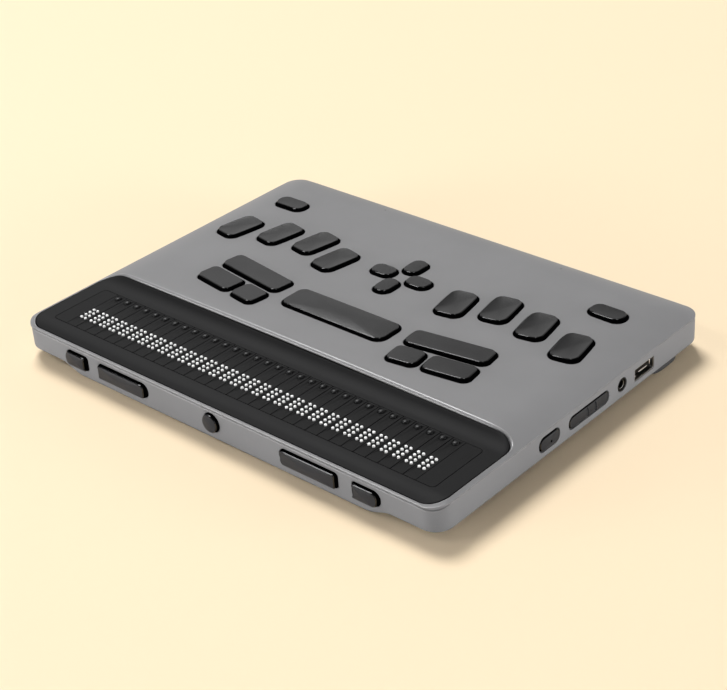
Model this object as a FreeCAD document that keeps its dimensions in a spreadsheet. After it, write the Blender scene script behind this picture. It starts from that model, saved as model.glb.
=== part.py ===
import FreeCAD, Part
import math
import os
import re
import Sketcher
from FreeCAD import Vector

# A flat braille notetaker: a rolled-edge key deck over a shallow casing, a line of braille cells
# in a black bezel at the front, keys on the deck and on the front wall, ports in the side walls.
# X runs to the user's right, Y away from the user, Z up. The origin lies on the table under the
# middle of the casing. "From the front" means the distance behind the front rim.

os.makedirs("parts", exist_ok=True)
doc = FreeCAD.newDocument("BrailleNotetaker")
sheet = doc.addObject("Spreadsheet::Sheet", "Sizes")

SIZES = {
    # Casing and key deck, heights above the table
    "body_width": 243.0,
    "body_depth": 181.6,
    "corner_radius": 8.5,
    "wall_thickness": 1.6,
    "floor_thickness": 1.4,
    "cover_thickness": 1.5,
    "deck_height": 21.2,
    "deck_crown": 0.7,
    "crease_height": 16.9,
    "crease_band": 0.6,
    "side_roll": 19.0,
    "back_roll": 10.5,
    "front_rim_height": 15.7,
    "front_seam_height": 14.2,
    "front_rim_overhang": 0.4,
    "front_roll": 11.0,
    "seam_ramp": 7.0,
    "seam_gap": 0.08,
    "skirt_depth": 0.6,
    "skirt_thickness": 1.6,
    "skirt_clearance": 0.15,
    "casing_underside": 3.85,
    "casing_edge_radius": 1.5,
    # Front belly, which carries the front of the device
    "belly_underside": 0.5,
    "belly_half_width": 84.0,
    "belly_ramp": 13.6,
    "belly_depth": 60.0,
    "belly_sill": 12.0,
    # Display bezel
    "bezel_half_width": 119.3,
    "bezel_from_front": 1.7,
    "bezel_depth": 50.2,
    "bezel_corner_radius": 8.5,
    "bezel_gap": 0.2,
    "bezel_thickness": 1.3,
    "bezel_front_roll": 8.3,
    "bezel_front_drop": 1.6,
    "bezel_back_sweep": 9.9,
    "bezel_back_rise": 2.9,
    "display_height": 17.5,
    # Braille cells
    "cell_pitch": 6.4,
    "cell_gap": 0.12,
    "cell_cap_thickness": 1.5,
    "strip_from_front": 10.1,
    "strip_depth": 30.85,
    "strip_half_width": 111.1,
    "strip_corner_radius": 2.0,
    "strip_gap": 0.15,
    "dot_spacing": 2.45,
    "first_row_from_front": 24.9,
    "pin_radius": 0.75,
    "pin_clearance": 0.08,
    "pin_rise": 0.7,
    "pin_length": 5.6,
    "pin_travel": 0.7,
    "pin_rest_gap": 0.2,
    "routing_from_front": 38.2,
    "routing_radius": 1.5,
    "routing_rise": 0.8,
    "routing_clearance": 0.1,
    "routing_flange": 0.25,
    "routing_flange_thickness": 0.6,
    "routing_stem": 1.1,
    "routing_travel": 0.4,
    "module_gap": 0.2,
    "module_wall": 3.0,
    "module_back_wall": 0.75,
    "module_tail": 23.0,
    "module_tail_height": 10.0,
    "backplane_thickness": 0.8,
    "strip_board_thickness": 0.8,
    "strip_board_depth": 9.5,
    # Keys of the deck
    "key_height": 22.8,
    "key_clearance": 0.25,
    "key_edge_radius": 0.7,
    "key_travel": 1.0,
    "key_flange": 0.45,
    "key_flange_gap": 0.5,
    "key_flange_thickness": 0.8,
    "key_stem_radius": 2.2,
    "key_stem": 1.1,
    "dome_height": 0.9,
    "dome_radius": 3.5,
    "dome_rest_gap": 0.4,
    "key_board_thickness": 1.2,
    "key_board_half_width": 112.0,
    "key_board_from_front": 62.0,
    "key_board_depth": 99.0,
    "dot_key_width": 15.0,
    "dot_key_depth": 22.7,
    "dot_key_radius": 4.6,
    "function_key_width": 18.8,
    "function_key_depth": 10.6,
    "function_key_radius": 4.8,
    "space_key_width": 61.0,
    "space_key_depth": 17.5,
    "space_key_radius": 5.2,
    "long_key_width": 42.0,
    "long_key_depth": 13.4,
    "long_key_radius": 4.0,
    "medium_key_width": 24.2,
    "medium_key_depth": 13.4,
    "medium_key_radius": 3.9,
    "small_key_width": 16.4,
    "small_key_depth": 13.4,
    "small_key_radius": 3.8,
    "arrow_key_width": 10.2,
    "arrow_key_depth": 14.0,
    "arrow_key_radius": 4.6,
    # Places of the keys: distance from the middle line, distance from the front, slant
    "index_x": 35.9,
    "index_y": 117.5,
    "middle_x": 55.0,
    "middle_y": 124.7,
    "ring_x": 76.0,
    "ring_y": 122.4,
    "little_x": 97.9,
    "little_y": 117.1,
    "dot_slant": 10.5,
    "function_x": 94.0,
    "function_y": 149.5,
    "command_slant": 8.2,
    "upper_command_x": 57.0,
    "upper_command_y": 87.3,
    "outer_command_x": 67.5,
    "outer_command_y": 74.0,
    "inner_command_x": 46.3,
    "inner_command_y": 71.1,
    "space_y": 81.2,
    "arrows_y": 122.5,
    "arrow_offset": 10.3,
    # Keys of the front wall
    "thumb_height": 8.8,
    "thumb_key_depth": 7.0,
    "thumb_long_x": 54.75,
    "thumb_long_width": 31.5,
    "thumb_short_x": 85.2,
    "thumb_short_width": 14.4,
    "thumb_round_radius": 3.3,
    "thumb_square_radius": 1.5,
    "home_radius": 4.4,
    "thumb_rise": 2.3,
    "thumb_edge_radius": 0.7,
    "thumb_flange": 0.6,
    "thumb_flange_gap": 0.3,
    "thumb_flange_thickness": 0.8,
    "thumb_stem": 0.8,
    "thumb_stem_radius": 1.6,
    "thumb_travel": 0.9,
    "thumb_rest_gap": 0.3,
    "edge_board_thickness": 1.0,
    "edge_board_gap": 0.1,
    # Right wall
    "power_from_front": 69.4,
    "power_width": 13.5,
    "power_depth": 6.7,
    "volume_from_front": 96.4,
    "volume_width": 27.7,
    "volume_depth": 6.0,
    "side_button_height": 10.75,
    "side_button_rise": 1.0,
    "power_travel": 0.6,
    "volume_tilt": 2.0,
    "volume_waist": 5.2,
    "volume_waist_depth": 0.35,
    "jack_from_front": 120.0,
    "jack_height": 10.8,
    "jack_radius": 3.15,
    "jack_bore_radius": 1.77,
    "jack_bore_depth": 14.0,
    "usb_from_front": 136.4,
    "usb_height": 10.3,
    "usb_width": 14.3,
    "usb_depth": 5.9,
    "usb_shell": 0.45,
    "usb_length": 15.0,
    "usb_cavity": 10.5,
    "port_clearance": 0.1,
    "port_inset": 0.3,
    # Left wall
    "usb_c_first": 116.0,
    "usb_c_pitch": 17.0,
    "usb_c_height": 10.0,
    "usb_c_width": 9.0,
    "usb_c_depth": 3.3,
    "usb_c_length": 8.0,
    "usb_c_cavity": 6.4,
    "usb_c_shell": 0.35,
    # Inside
    "board_gap": 0.1,
    "main_board_thickness": 1.0,
    "main_board_left": 24.0,
    "main_board_right": 117.5,
    "main_board_from_front": 70.5,
    "main_board_depth": 80.0,
    "shield_width": 34.0,
    "shield_depth": 26.0,
    "shield_height": 2.4,
    "battery_left": -102.0,
    "battery_width": 120.0,
    "battery_from_front": 69.0,
    "battery_depth": 66.0,
    "battery_height": 7.0,
    "speaker_x": 113.0,
    "speaker_width": 11.0,
    "speaker_from_front": 14.0,
    "speaker_depth": 32.0,
    "speaker_height": 6.0,
    "speaker_slot": 1.4,
    "speaker_slot_pitch": 3.6,
    "microphone_x": 52.7,
    "microphone_from_front": 172.3,
    "microphone_hole_radius": 0.45,
    "post_x": 106.0,
    "post_first": 67.0,
    "post_middle": 109.0,
    "post_last": 157.0,
    "post_radius": 2.6,
    "post_board_clearance": 0.5,
    "screw_radius": 0.9,
    "screw_clearance": 0.1,
    "screw_head_radius": 1.9,
    "screw_head_height": 1.1,
    "screw_length": 8.5,
    "foot_width": 30.0,
    "foot_depth": 26.0,
    "foot_radius": 9.0,
    "foot_x": 104.8,
    "foot_from_front": 156.9,
    "foot_edge_radius": 1.4,
    "pad_width": 60.0,
    "pad_depth": 9.0,
    "pad_x": 46.0,
    "pad_from_front": 12.0,
    "flex_thickness": 0.3,
    "flex_width": 14.0,
}

CELL_COUNT = 32

for row, (alias, size) in enumerate(SIZES.items(), start=1):
    sheet.set(f"A{row}", alias)
    sheet.set(f"B{row}", str(size))
    sheet.setAlias(f"B{row}", alias)
doc.recompute()

# Places that several pieces share, as expressions of the sizes
FRONT = "(-body_depth / 2)"
BACK = "(body_depth / 2)"
WALL_FRONT = f"({FRONT} + front_rim_overhang)"
RIGHT = "(body_width / 2)"
FLOOR_TOP = "(casing_underside + floor_thickness)"
SEAM = "(crease_height - crease_band)"
COVER_UNDERSIDE = "(deck_height - cover_thickness)"
FLANGE_TOP = f"({COVER_UNDERSIDE} - key_flange_gap)"
FLANGE_BOTTOM = f"({FLANGE_TOP} - key_flange_thickness)"
KEY_BOARD_TOP = f"({FLANGE_BOTTOM} - key_stem - key_travel - dome_rest_gap - dome_height)"
CAP_UNDERSIDE = "(display_height - cell_cap_thickness)"
BACKPLANE_TOP = f"({FLOOR_TOP} + board_gap + backplane_thickness)"
CHANNEL = "(display_height + pin_rise - pin_length - pin_travel - pin_rest_gap)"
ROUTING_FLANGE_TOP = f"({CAP_UNDERSIDE} - 3 * routing_clearance)"
STRIP_BOARD_TOP = (
    f"({ROUTING_FLANGE_TOP} - routing_flange_thickness - routing_stem"
    " - routing_travel - pin_rest_gap)"
)
STRIP_LEDGE = f"({STRIP_BOARD_TOP} - strip_board_thickness)"
MAIN_BOARD_TOP = f"({FLOOR_TOP} + board_gap + main_board_thickness)"
CAVITY_INSET = "(wall_thickness + skirt_clearance + skirt_thickness)"


def formula(text):
    """Write each size's name as a reference to its cell."""
    return re.sub(r"[a-z_]+", lambda word: f"Sizes.{word[0]}" if word[0] in SIZES else word[0], text)


def number(text):
    """Work out an expression of the sizes."""
    return float(sheet.evalExpression(formula(text)))


def bind(item, path, text):
    item.setExpression(path, formula(text))


def behind(text):
    """The Y place of something that lies this far behind the front rim."""
    return f"({FRONT} + {text})"


def add_arc(centre, radius, start, end):
    circle = Part.Circle(centre, Vector(0, 0, 1), radius)
    return Part.ArcOfCircle(circle, math.radians(start), math.radians(end))


def constrain(sketch, shape, sizes):
    """Add constraints of shape, then driving ones: kind, references, expression and name."""
    first = sketch.ConstraintCount + len(shape)
    driving = [Sketcher.Constraint(kind, *where, number(text)) for kind, where, text, name in sizes]
    sketch.addConstraint(shape + driving)
    for index, (kind, where, text, name) in enumerate(sizes, start=first):
        sketch.renameConstraint(index, name)
        bind(sketch, f"Constraints.{name}", text)


def draw_rounded(sketch, left, right, front, back, radii, tag=""):
    """Draw a rectangle whose corners, front left first and going right, have these radii."""
    if isinstance(radii, str):
        radii = [radii] * 4
    low_x, high_x, low_y, high_y = (number(text) for text in (left, right, front, back))
    round_fl, round_fr, round_br, round_bl = (number(text) for text in radii)
    first = sketch.GeometryCount
    pieces = [
        Part.LineSegment(Vector(low_x + round_fl, low_y, 0), Vector(high_x - round_fr, low_y, 0)),
        add_arc(Vector(high_x - round_fr, low_y + round_fr, 0), round_fr, -90, 0),
        Part.LineSegment(Vector(high_x, low_y + round_fr, 0), Vector(high_x, high_y - round_br, 0)),
        add_arc(Vector(high_x - round_br, high_y - round_br, 0), round_br, 0, 90),
        Part.LineSegment(Vector(high_x - round_br, high_y, 0), Vector(low_x + round_bl, high_y, 0)),
        add_arc(Vector(low_x + round_bl, high_y - round_bl, 0), round_bl, 90, 180),
        Part.LineSegment(Vector(low_x, high_y - round_bl, 0), Vector(low_x, low_y + round_fl, 0)),
        add_arc(Vector(low_x + round_fl, low_y + round_fl, 0), round_fl, 180, 270),
    ]
    sketch.addGeometry(pieces, False)
    joints = [
        Sketcher.Constraint("Tangent", first + place, 2, first + (place + 1) % 8, 1)
        for place in range(8)
    ]
    level = [Sketcher.Constraint("Horizontal", first + place) for place in (0, 4)]
    upright = [Sketcher.Constraint("Vertical", first + place) for place in (2, 6)]
    sizes = [
        ("DistanceX", (-1, 1, first + 6, 1), left, f"left{tag}"),
        ("DistanceX", (-1, 1, first + 2, 1), right, f"right{tag}"),
        ("DistanceY", (-1, 1, first, 1), front, f"front{tag}"),
        ("DistanceY", (-1, 1, first + 4, 1), back, f"back{tag}"),
    ]
    for place, text in zip((1, 3, 5, 7), (radii[1], radii[2], radii[3], radii[0])):
        sizes.append(("Radius", (first + place,), text, f"corner{place}{tag}"))
    constrain(sketch, joints + level + upright, sizes)


def draw_circle(sketch, across, along, radius, tag=""):
    index = sketch.GeometryCount
    centre = Vector(number(across), number(along), 0)
    sketch.addGeometry(Part.Circle(centre, Vector(0, 0, 1), number(radius)), False)
    constrain(sketch, [], [
        ("Radius", (index,), radius, f"radius{tag}"),
        ("DistanceX", (-1, 1, index, 3), across, f"across{tag}"),
        ("DistanceY", (-1, 1, index, 3), along, f"along{tag}"),
    ])


def draw_profile(sketch, corners, arcs=None):
    """Draw a closed profile through corners, each two expressions.

    arcs gives, for the edge that starts at a corner, the expression of its centre's place
    across the sketch; the edge is then an arc between its two corners.
    """
    arcs = arcs or {}
    points = [Vector(number(across), number(along), 0) for across, along in corners]
    count = len(points)
    starts = {}
    for place, point in enumerate(points):
        following = points[(place + 1) % count]
        if place not in arcs:
            sketch.addGeometry(Part.LineSegment(point, following), False)
            starts[place] = (1, 2)
            continue
        centre_x = number(arcs[place])
        gap = (following.x ** 2 - point.x ** 2) - 2 * centre_x * (following.x - point.x)
        centre_y = (gap + following.y ** 2 - point.y ** 2) / (2 * (following.y - point.y))
        centre = Vector(centre_x, centre_y, 0)
        before, after = point - centre, following - centre
        turns_left = before.x * after.y - before.y * after.x > 0
        first, last = (before, after) if turns_left else (after, before)
        sketch.addGeometry(add_arc(centre, before.Length, *(
            math.degrees(math.atan2(side.y, side.x)) for side in (first, last))), False)
        starts[place] = (1, 2) if turns_left else (2, 1)
    joints = []
    sizes = []
    for place, (across, along) in enumerate(corners):
        after = (place + 1) % count
        joints.append(Sketcher.Constraint(
            "Coincident", place, starts[place][1], after, starts[after][0]))
        start = (-1, 1, place, starts[place][0])
        sizes.append(("DistanceX", start, across, f"across{place}"))
        sizes.append(("DistanceY", start, along, f"along{place}"))
    for place, text in arcs.items():
        sizes.append(("DistanceX", (-1, 1, place, 3), text, f"centre{place}"))
    constrain(sketch, joints, sizes)


def new_body(label, across="0", along="0", turn="0"):
    """Start a sub-part whose own frame stands at a place on the table."""
    body = doc.addObject("PartDesign::Body", label)
    body.Label = label
    bind(body, "Placement.Base.x", across)
    bind(body, "Placement.Base.y", along)
    body.Placement.Rotation = FreeCAD.Rotation(Vector(0, 0, 1), number(turn))
    bind(body, "Placement.Rotation.Angle", turn)
    return body


def new_sketch(body, name, offset, role="XY_Plane"):
    """Start a sketch on one of a body's own planes, moved along its normal."""
    sketch = body.newObject("Sketcher::SketchObject", f"{body.Name}_{name}")
    plane = next(item for item in body.Origin.OriginFeatures if item.Role == role)
    sketch.AttachmentSupport = [(plane, "")]
    sketch.MapMode = "FlatFace"
    bind(sketch, "AttachmentOffset.Base.z", offset)
    return sketch


def add_feature(body, kind, sketch, length, backwards=False):
    feature = body.newObject(f"PartDesign::{kind}", f"{sketch.Name}_{kind.lower()}")
    feature.Profile = sketch
    bind(feature, "Length", length)
    feature.Reversed = backwards
    return feature


def pad(body, sketch, length, backwards=False):
    return add_feature(body, "Pad", sketch, length, backwards)


def pocket(body, sketch, length, backwards=False):
    """Cut a sketch into the body and check that it takes something away."""
    doc.recompute([body])
    before = body.Shape.Volume
    feature = add_feature(body, "Pocket", sketch, length, backwards)
    doc.recompute([body])
    if feature.Shape.Volume > before - 1e-6:
        raise ValueError(f"{feature.Name} cuts nothing")
    return feature


def round_edges(body, feature, radius, wanted, kind="Fillet"):
    """Round the edges of a feature that the test picks."""
    doc.recompute([body])
    names = [
        f"Edge{place}"
        for place, edge in enumerate(feature.Shape.Edges, start=1)
        if wanted(edge.BoundBox)
    ]
    if not names:
        raise ValueError(f"{feature.Name} has no such edges")
    rounded = body.newObject(f"PartDesign::{kind}", f"{feature.Name}_rounded")
    rounded.Base = (feature, names)
    bind(rounded, "Radius", radius)
    return rounded


def flat_at(height):
    """A test for edges that lie level at this height."""
    level = number(height)
    return lambda box: abs(box.ZMin - level) < 1e-4 and abs(box.ZMax - level) < 1e-4


def extrude(name, draw, direction, start, length):
    """Extrude a sketch along X, Y or Z from a place on that axis."""
    sketch = doc.addObject("Sketcher::SketchObject", f"{name}_outline")
    turns = {
        "X": FreeCAD.Rotation(Vector(0, 1, 0), Vector(0, 0, 1), Vector(1, 0, 0)),
        "Y": FreeCAD.Rotation(Vector(1, 0, 0), Vector(0, 0, 1), Vector(0, -1, 0)),
        "Z": FreeCAD.Rotation(),
    }
    axes = {"X": Vector(1, 0, 0), "Y": Vector(0, 1, 0), "Z": Vector(0, 0, 1)}
    sketch.Placement = FreeCAD.Placement(Vector(0, 0, 0), turns[direction])
    bind(sketch, f"Placement.Base.{direction.lower()}", start)
    draw(sketch)
    solid = doc.addObject("Part::Extrusion", name)
    solid.Base = sketch
    solid.Dir = axes[direction]
    solid.DirMode = "Custom"
    solid.Solid = True
    bind(solid, "LengthFwd", length)
    return solid


def common(name, *solids):
    shared = doc.addObject("Part::MultiCommon", name)
    shared.Shapes = list(solids)
    return shared


def cut(name, base, tool):
    rest = doc.addObject("Part::Cut", name)
    rest.Base = base
    rest.Tool = tool
    return rest


def fuse(name, solids):
    joined = doc.addObject("Part::MultiFuse", name)
    joined.Shapes = list(solids)
    return joined


def plan(inset, front_inset=None):
    """The casing's outline, drawn in by a distance, with its corners drawn in alike."""
    front_inset = front_inset or inset

    def draw(sketch):
        draw_rounded(
            sketch,
            f"-({RIGHT} - {inset})", f"{RIGHT} - {inset}",
            f"{FRONT} + {front_inset}", f"{BACK} - {inset}",
            f"corner_radius - {inset}",
        )
    return draw


def roll_profile(drop):
    """Across the device: a slightly crowned deck that rolls down to the crease on both sides."""
    edge, inner = RIGHT, f"({RIGHT} - side_roll)"
    top, crease = f"(deck_height - {drop})", f"(crease_height - {drop})"

    def draw(sketch):
        draw_profile(
            sketch,
            [
                (f"-{edge}", "0"), (edge, "0"), (edge, crease), (inner, top),
                ("0", f"({top} + deck_crown)"), (f"-{inner}", top), (f"-{edge}", crease),
            ],
            {2: inner, 3: "0", 4: "0", 5: f"-{inner}"},
        )
    return draw


def length_profile(drop):
    """Along the device: the front rim, the deck and the roll down to the back."""
    top, crease = f"(deck_height - {drop})", f"(crease_height - {drop})"
    rim, ridge = f"(front_rim_height - {drop})", f"({top} + deck_crown)"
    roll_end, roll_start = BACK, f"({BACK} - back_roll)"
    rise = f"({FRONT} + bezel_front_roll + bezel_from_front + front_roll)"

    def draw(sketch):
        draw_profile(
            sketch,
            [
                (FRONT, "0"), (roll_end, "0"), (roll_end, crease), (roll_start, ridge),
                (f"({rise} + front_roll)", ridge), (rise, top), (FRONT, rim),
            ],
            {2: roll_start},
        )
    return draw


def seam_profile(drop):
    """Along the device: everything under the seam between cover and casing."""
    side, front = f"({SEAM} - {drop})", f"(front_seam_height - {drop})"

    def draw(sketch):
        draw_profile(
            sketch,
            [
                (f"{FRONT} - corner_radius", "-corner_radius"),
                (f"{BACK} + corner_radius", "-corner_radius"),
                (f"{BACK} + corner_radius", side),
                (f"{FRONT} + corner_radius", side),
                (f"{FRONT} + corner_radius - seam_ramp", front),
                (f"{FRONT} - corner_radius", front),
            ],
        )
    return draw


# The keys of the deck: name, kind, place across, place from the front, slant
MIRRORED_KEYS = [
    ("dot_1_key", "dot_4_key", "dot_key", "index", "dot_slant"),
    ("dot_2_key", "dot_5_key", "dot_key", "middle", "dot_slant"),
    ("dot_3_key", "dot_6_key", "dot_key", "ring", "dot_slant"),
    ("dot_7_key", "dot_8_key", "dot_key", "little", "dot_slant"),
    ("left_function_key", "right_function_key", "function_key", "function", "0"),
    ("left_upper_command_key", "right_upper_command_key", "long_key", "upper_command",
     "command_slant"),
    ("left_outer_command_key", "right_outer_command_key", "medium_key", "outer_command",
     "command_slant"),
    ("left_inner_command_key", "right_inner_command_key", "small_key", "inner_command",
     "command_slant"),
]
DECK_KEYS = [("space_key", "space_key", "0", "space_y", "0")]
for left_name, right_name, kind, place, slant in MIRRORED_KEYS:
    DECK_KEYS.append((left_name, kind, f"-{place}_x", f"{place}_y", f"-{slant}"))
    DECK_KEYS.append((right_name, kind, f"{place}_x", f"{place}_y", slant))
DECK_KEYS += [
    ("arrow_up_key", "arrow_key", "0", "(arrows_y + arrow_offset)", "0"),
    ("arrow_down_key", "arrow_key", "0", "(arrows_y - arrow_offset)", "180"),
    ("arrow_left_key", "arrow_key", "-arrow_offset", "arrows_y", "90"),
    ("arrow_right_key", "arrow_key", "arrow_offset", "arrows_y", "-90"),
]


def draw_key(kind, growth):
    """A key's outline about its own middle, grown by a distance on every side."""
    half_width = f"({kind}_width / 2 + {growth})"
    half_depth = f"({kind}_depth / 2 + {growth})"

    def draw(sketch):
        draw_rounded(
            sketch, f"-{half_width}", half_width, f"-{half_depth}", half_depth,
            f"{kind}_radius + {growth}",
        )
    return draw


def crown_at(across):
    """How much the crowned deck is higher there than at the start of its side rolls."""
    return f"deck_crown * (1 - (({across}) / ({RIGHT} - side_roll)) ^ 2)"


def build_deck_key(name, kind, across, from_front, slant):
    """A key cap with rounded upper edges, its retaining flange and the stem over its dome."""
    top = f"(key_height + {crown_at(across)})"
    body = new_body(name, across, behind(from_front), slant)
    flange = new_sketch(body, "flange", FLANGE_BOTTOM)
    draw_key(kind, "key_flange")(flange)
    pad(body, flange, "key_flange_thickness")
    stem = new_sketch(body, "stem", FLANGE_BOTTOM)
    draw_circle(stem, "0", "0", "key_stem_radius")
    pad(body, stem, "key_stem", backwards=True)
    cap = new_sketch(body, "cap", FLANGE_TOP)
    draw_key(kind, "0")(cap)
    cap_pad = pad(body, cap, f"{top} - {FLANGE_TOP}")
    round_edges(body, cap_pad, "key_edge_radius", flat_at(top))
    return body


def build_key_openings():
    """The tools that cut the deck's key openings, one for each key and its clearance."""
    tools = []
    for name, kind, across, from_front, slant in DECK_KEYS:
        tool = extrude(f"{name}_opening", draw_key(kind, "key_clearance"), "Z",
                       FLANGE_TOP, "deck_height")
        outline = tool.Base
        outline.Placement.Rotation = FreeCAD.Rotation(Vector(0, 0, 1), number(slant))
        bind(outline, "Placement.Rotation.Angle", slant)
        bind(outline, "Placement.Base.x", across)
        bind(outline, "Placement.Base.y", behind(from_front))
        tools.append(tool)
    return tools


def build_top_cover():
    """The key deck with its rolled edges, the rim round the bezel and the skirt in the casing."""
    outside = common(
        "cover_outside",
        extrude("cover_plan", plan("0"), "Z", "0", "2 * deck_height"),
        extrude("cover_roll", roll_profile("0"), "Y", FRONT, "body_depth"),
        extrude("cover_length", length_profile("0"), "X", f"-{RIGHT}", "body_width"),
    )
    inside = common(
        "cover_inside",
        extrude("cavity_plan", plan(CAVITY_INSET), "Z", "0", "2 * deck_height"),
        extrude("cavity_roll", roll_profile("cover_thickness"), "Y", FRONT, "body_depth"),
        extrude("cavity_length", length_profile("cover_thickness"), "X", f"-{RIGHT}", "body_width"),
    )
    wide = "(2 * body_width)"
    below_skirt = extrude("skirt_trim", seam_profile("skirt_depth"), "X", "-body_width", wide)
    below_seam = extrude("seam_trim", seam_profile("0"), "X", "-body_width", wide)
    skirt_inset = "(wall_thickness + skirt_clearance)"
    skirt = extrude("skirt_plan", plan(skirt_inset, f"({skirt_inset} + front_rim_overhang)"),
                    "Z", "-deck_height", "4 * deck_height")
    outer_trim = cut("outer_trim", below_seam, skirt)
    bezel_seat = common(
        "bezel_seat",
        extrude("seat_plan", draw_bezel("bezel_gap"), "Z", "0", "2 * deck_height"),
        extrude("seat_length", draw_bezel_seat, "X", "-body_width", wide),
    )
    holes = [inside, below_skirt, outer_trim, bezel_seat] + build_key_openings()
    for side in ("-", ""):
        def draw_hole(sketch, side=side):
            draw_circle(sketch, f"{side}microphone_x", behind("microphone_from_front"),
                        "microphone_hole_radius")
        holes.append(extrude(f"microphone_hole{'_left' if side else '_right'}", draw_hole, "Z",
                             CAP_UNDERSIDE, "deck_height"))
    return cut("top_cover", outside, fuse("cover_openings", holes))


def draw_bezel(growth):
    """The bezel's outline in plan, grown by a gap."""
    def draw(sketch):
        draw_rounded(
            sketch,
            f"-(bezel_half_width + {growth})", f"bezel_half_width + {growth}",
            behind(f"(bezel_from_front - {growth})"),
            behind(f"(bezel_from_front + bezel_depth + {growth})"),
            f"bezel_corner_radius + {growth}",
        )
    return draw


def draw_bezel_seat(sketch):
    """The space over the ledge that the bezel lies on."""
    ledge = "(display_height - bezel_thickness - bezel_gap / 2)"
    front = behind("(bezel_from_front - bezel_gap)")
    back = behind("(bezel_from_front + bezel_depth + bezel_gap)")
    draw_profile(
        sketch,
        [
            (front, f"{ledge} - bezel_front_drop"), (behind("(bezel_from_front + bezel_front_roll)"), ledge),
            (back, ledge), (back, "2 * deck_height"), (front, "2 * deck_height"),
        ],
    )


def draw_bezel_profile(sketch):
    """Along the device: the bezel falls away in front and sweeps up to the deck behind."""
    front, back = behind("bezel_from_front"), behind("(bezel_from_front + bezel_depth)")
    roll = behind("(bezel_from_front + bezel_front_roll)")
    sweep = behind("(bezel_from_front + bezel_depth - bezel_back_sweep)")
    under = "(display_height - bezel_thickness)"
    draw_profile(
        sketch,
        [
            (front, f"{under} - bezel_front_drop"), (roll, under), (sweep, under),
            (back, f"{under} + bezel_back_rise"), (back, "display_height + bezel_back_rise"),
            (sweep, "display_height"), (roll, "display_height"),
            (front, "display_height - bezel_front_drop"),
        ],
        {2: sweep, 4: sweep, 6: roll, 0: roll},
    )


def build_display_bezel():
    """The black frame round the braille line."""
    blank = common(
        "bezel_blank",
        extrude("bezel_plan", draw_bezel("0"), "Z", "0", "2 * deck_height"),
        extrude("bezel_length", draw_bezel_profile, "X", f"-{RIGHT}", "body_width"),
        extrude("bezel_roll", roll_profile("0"), "Y", FRONT, "body_depth"),
    )

    def draw_strip(sketch):
        draw_rounded(
            sketch,
            "-(strip_half_width + strip_gap)", "strip_half_width + strip_gap",
            behind("(strip_from_front - strip_gap)"),
            behind("(strip_from_front + strip_depth + strip_gap)"),
            "strip_corner_radius + strip_gap",
        )
    opening = extrude("strip_opening", draw_strip, "Z", "0", "2 * deck_height")
    return cut("display_bezel", blank, opening)


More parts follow.
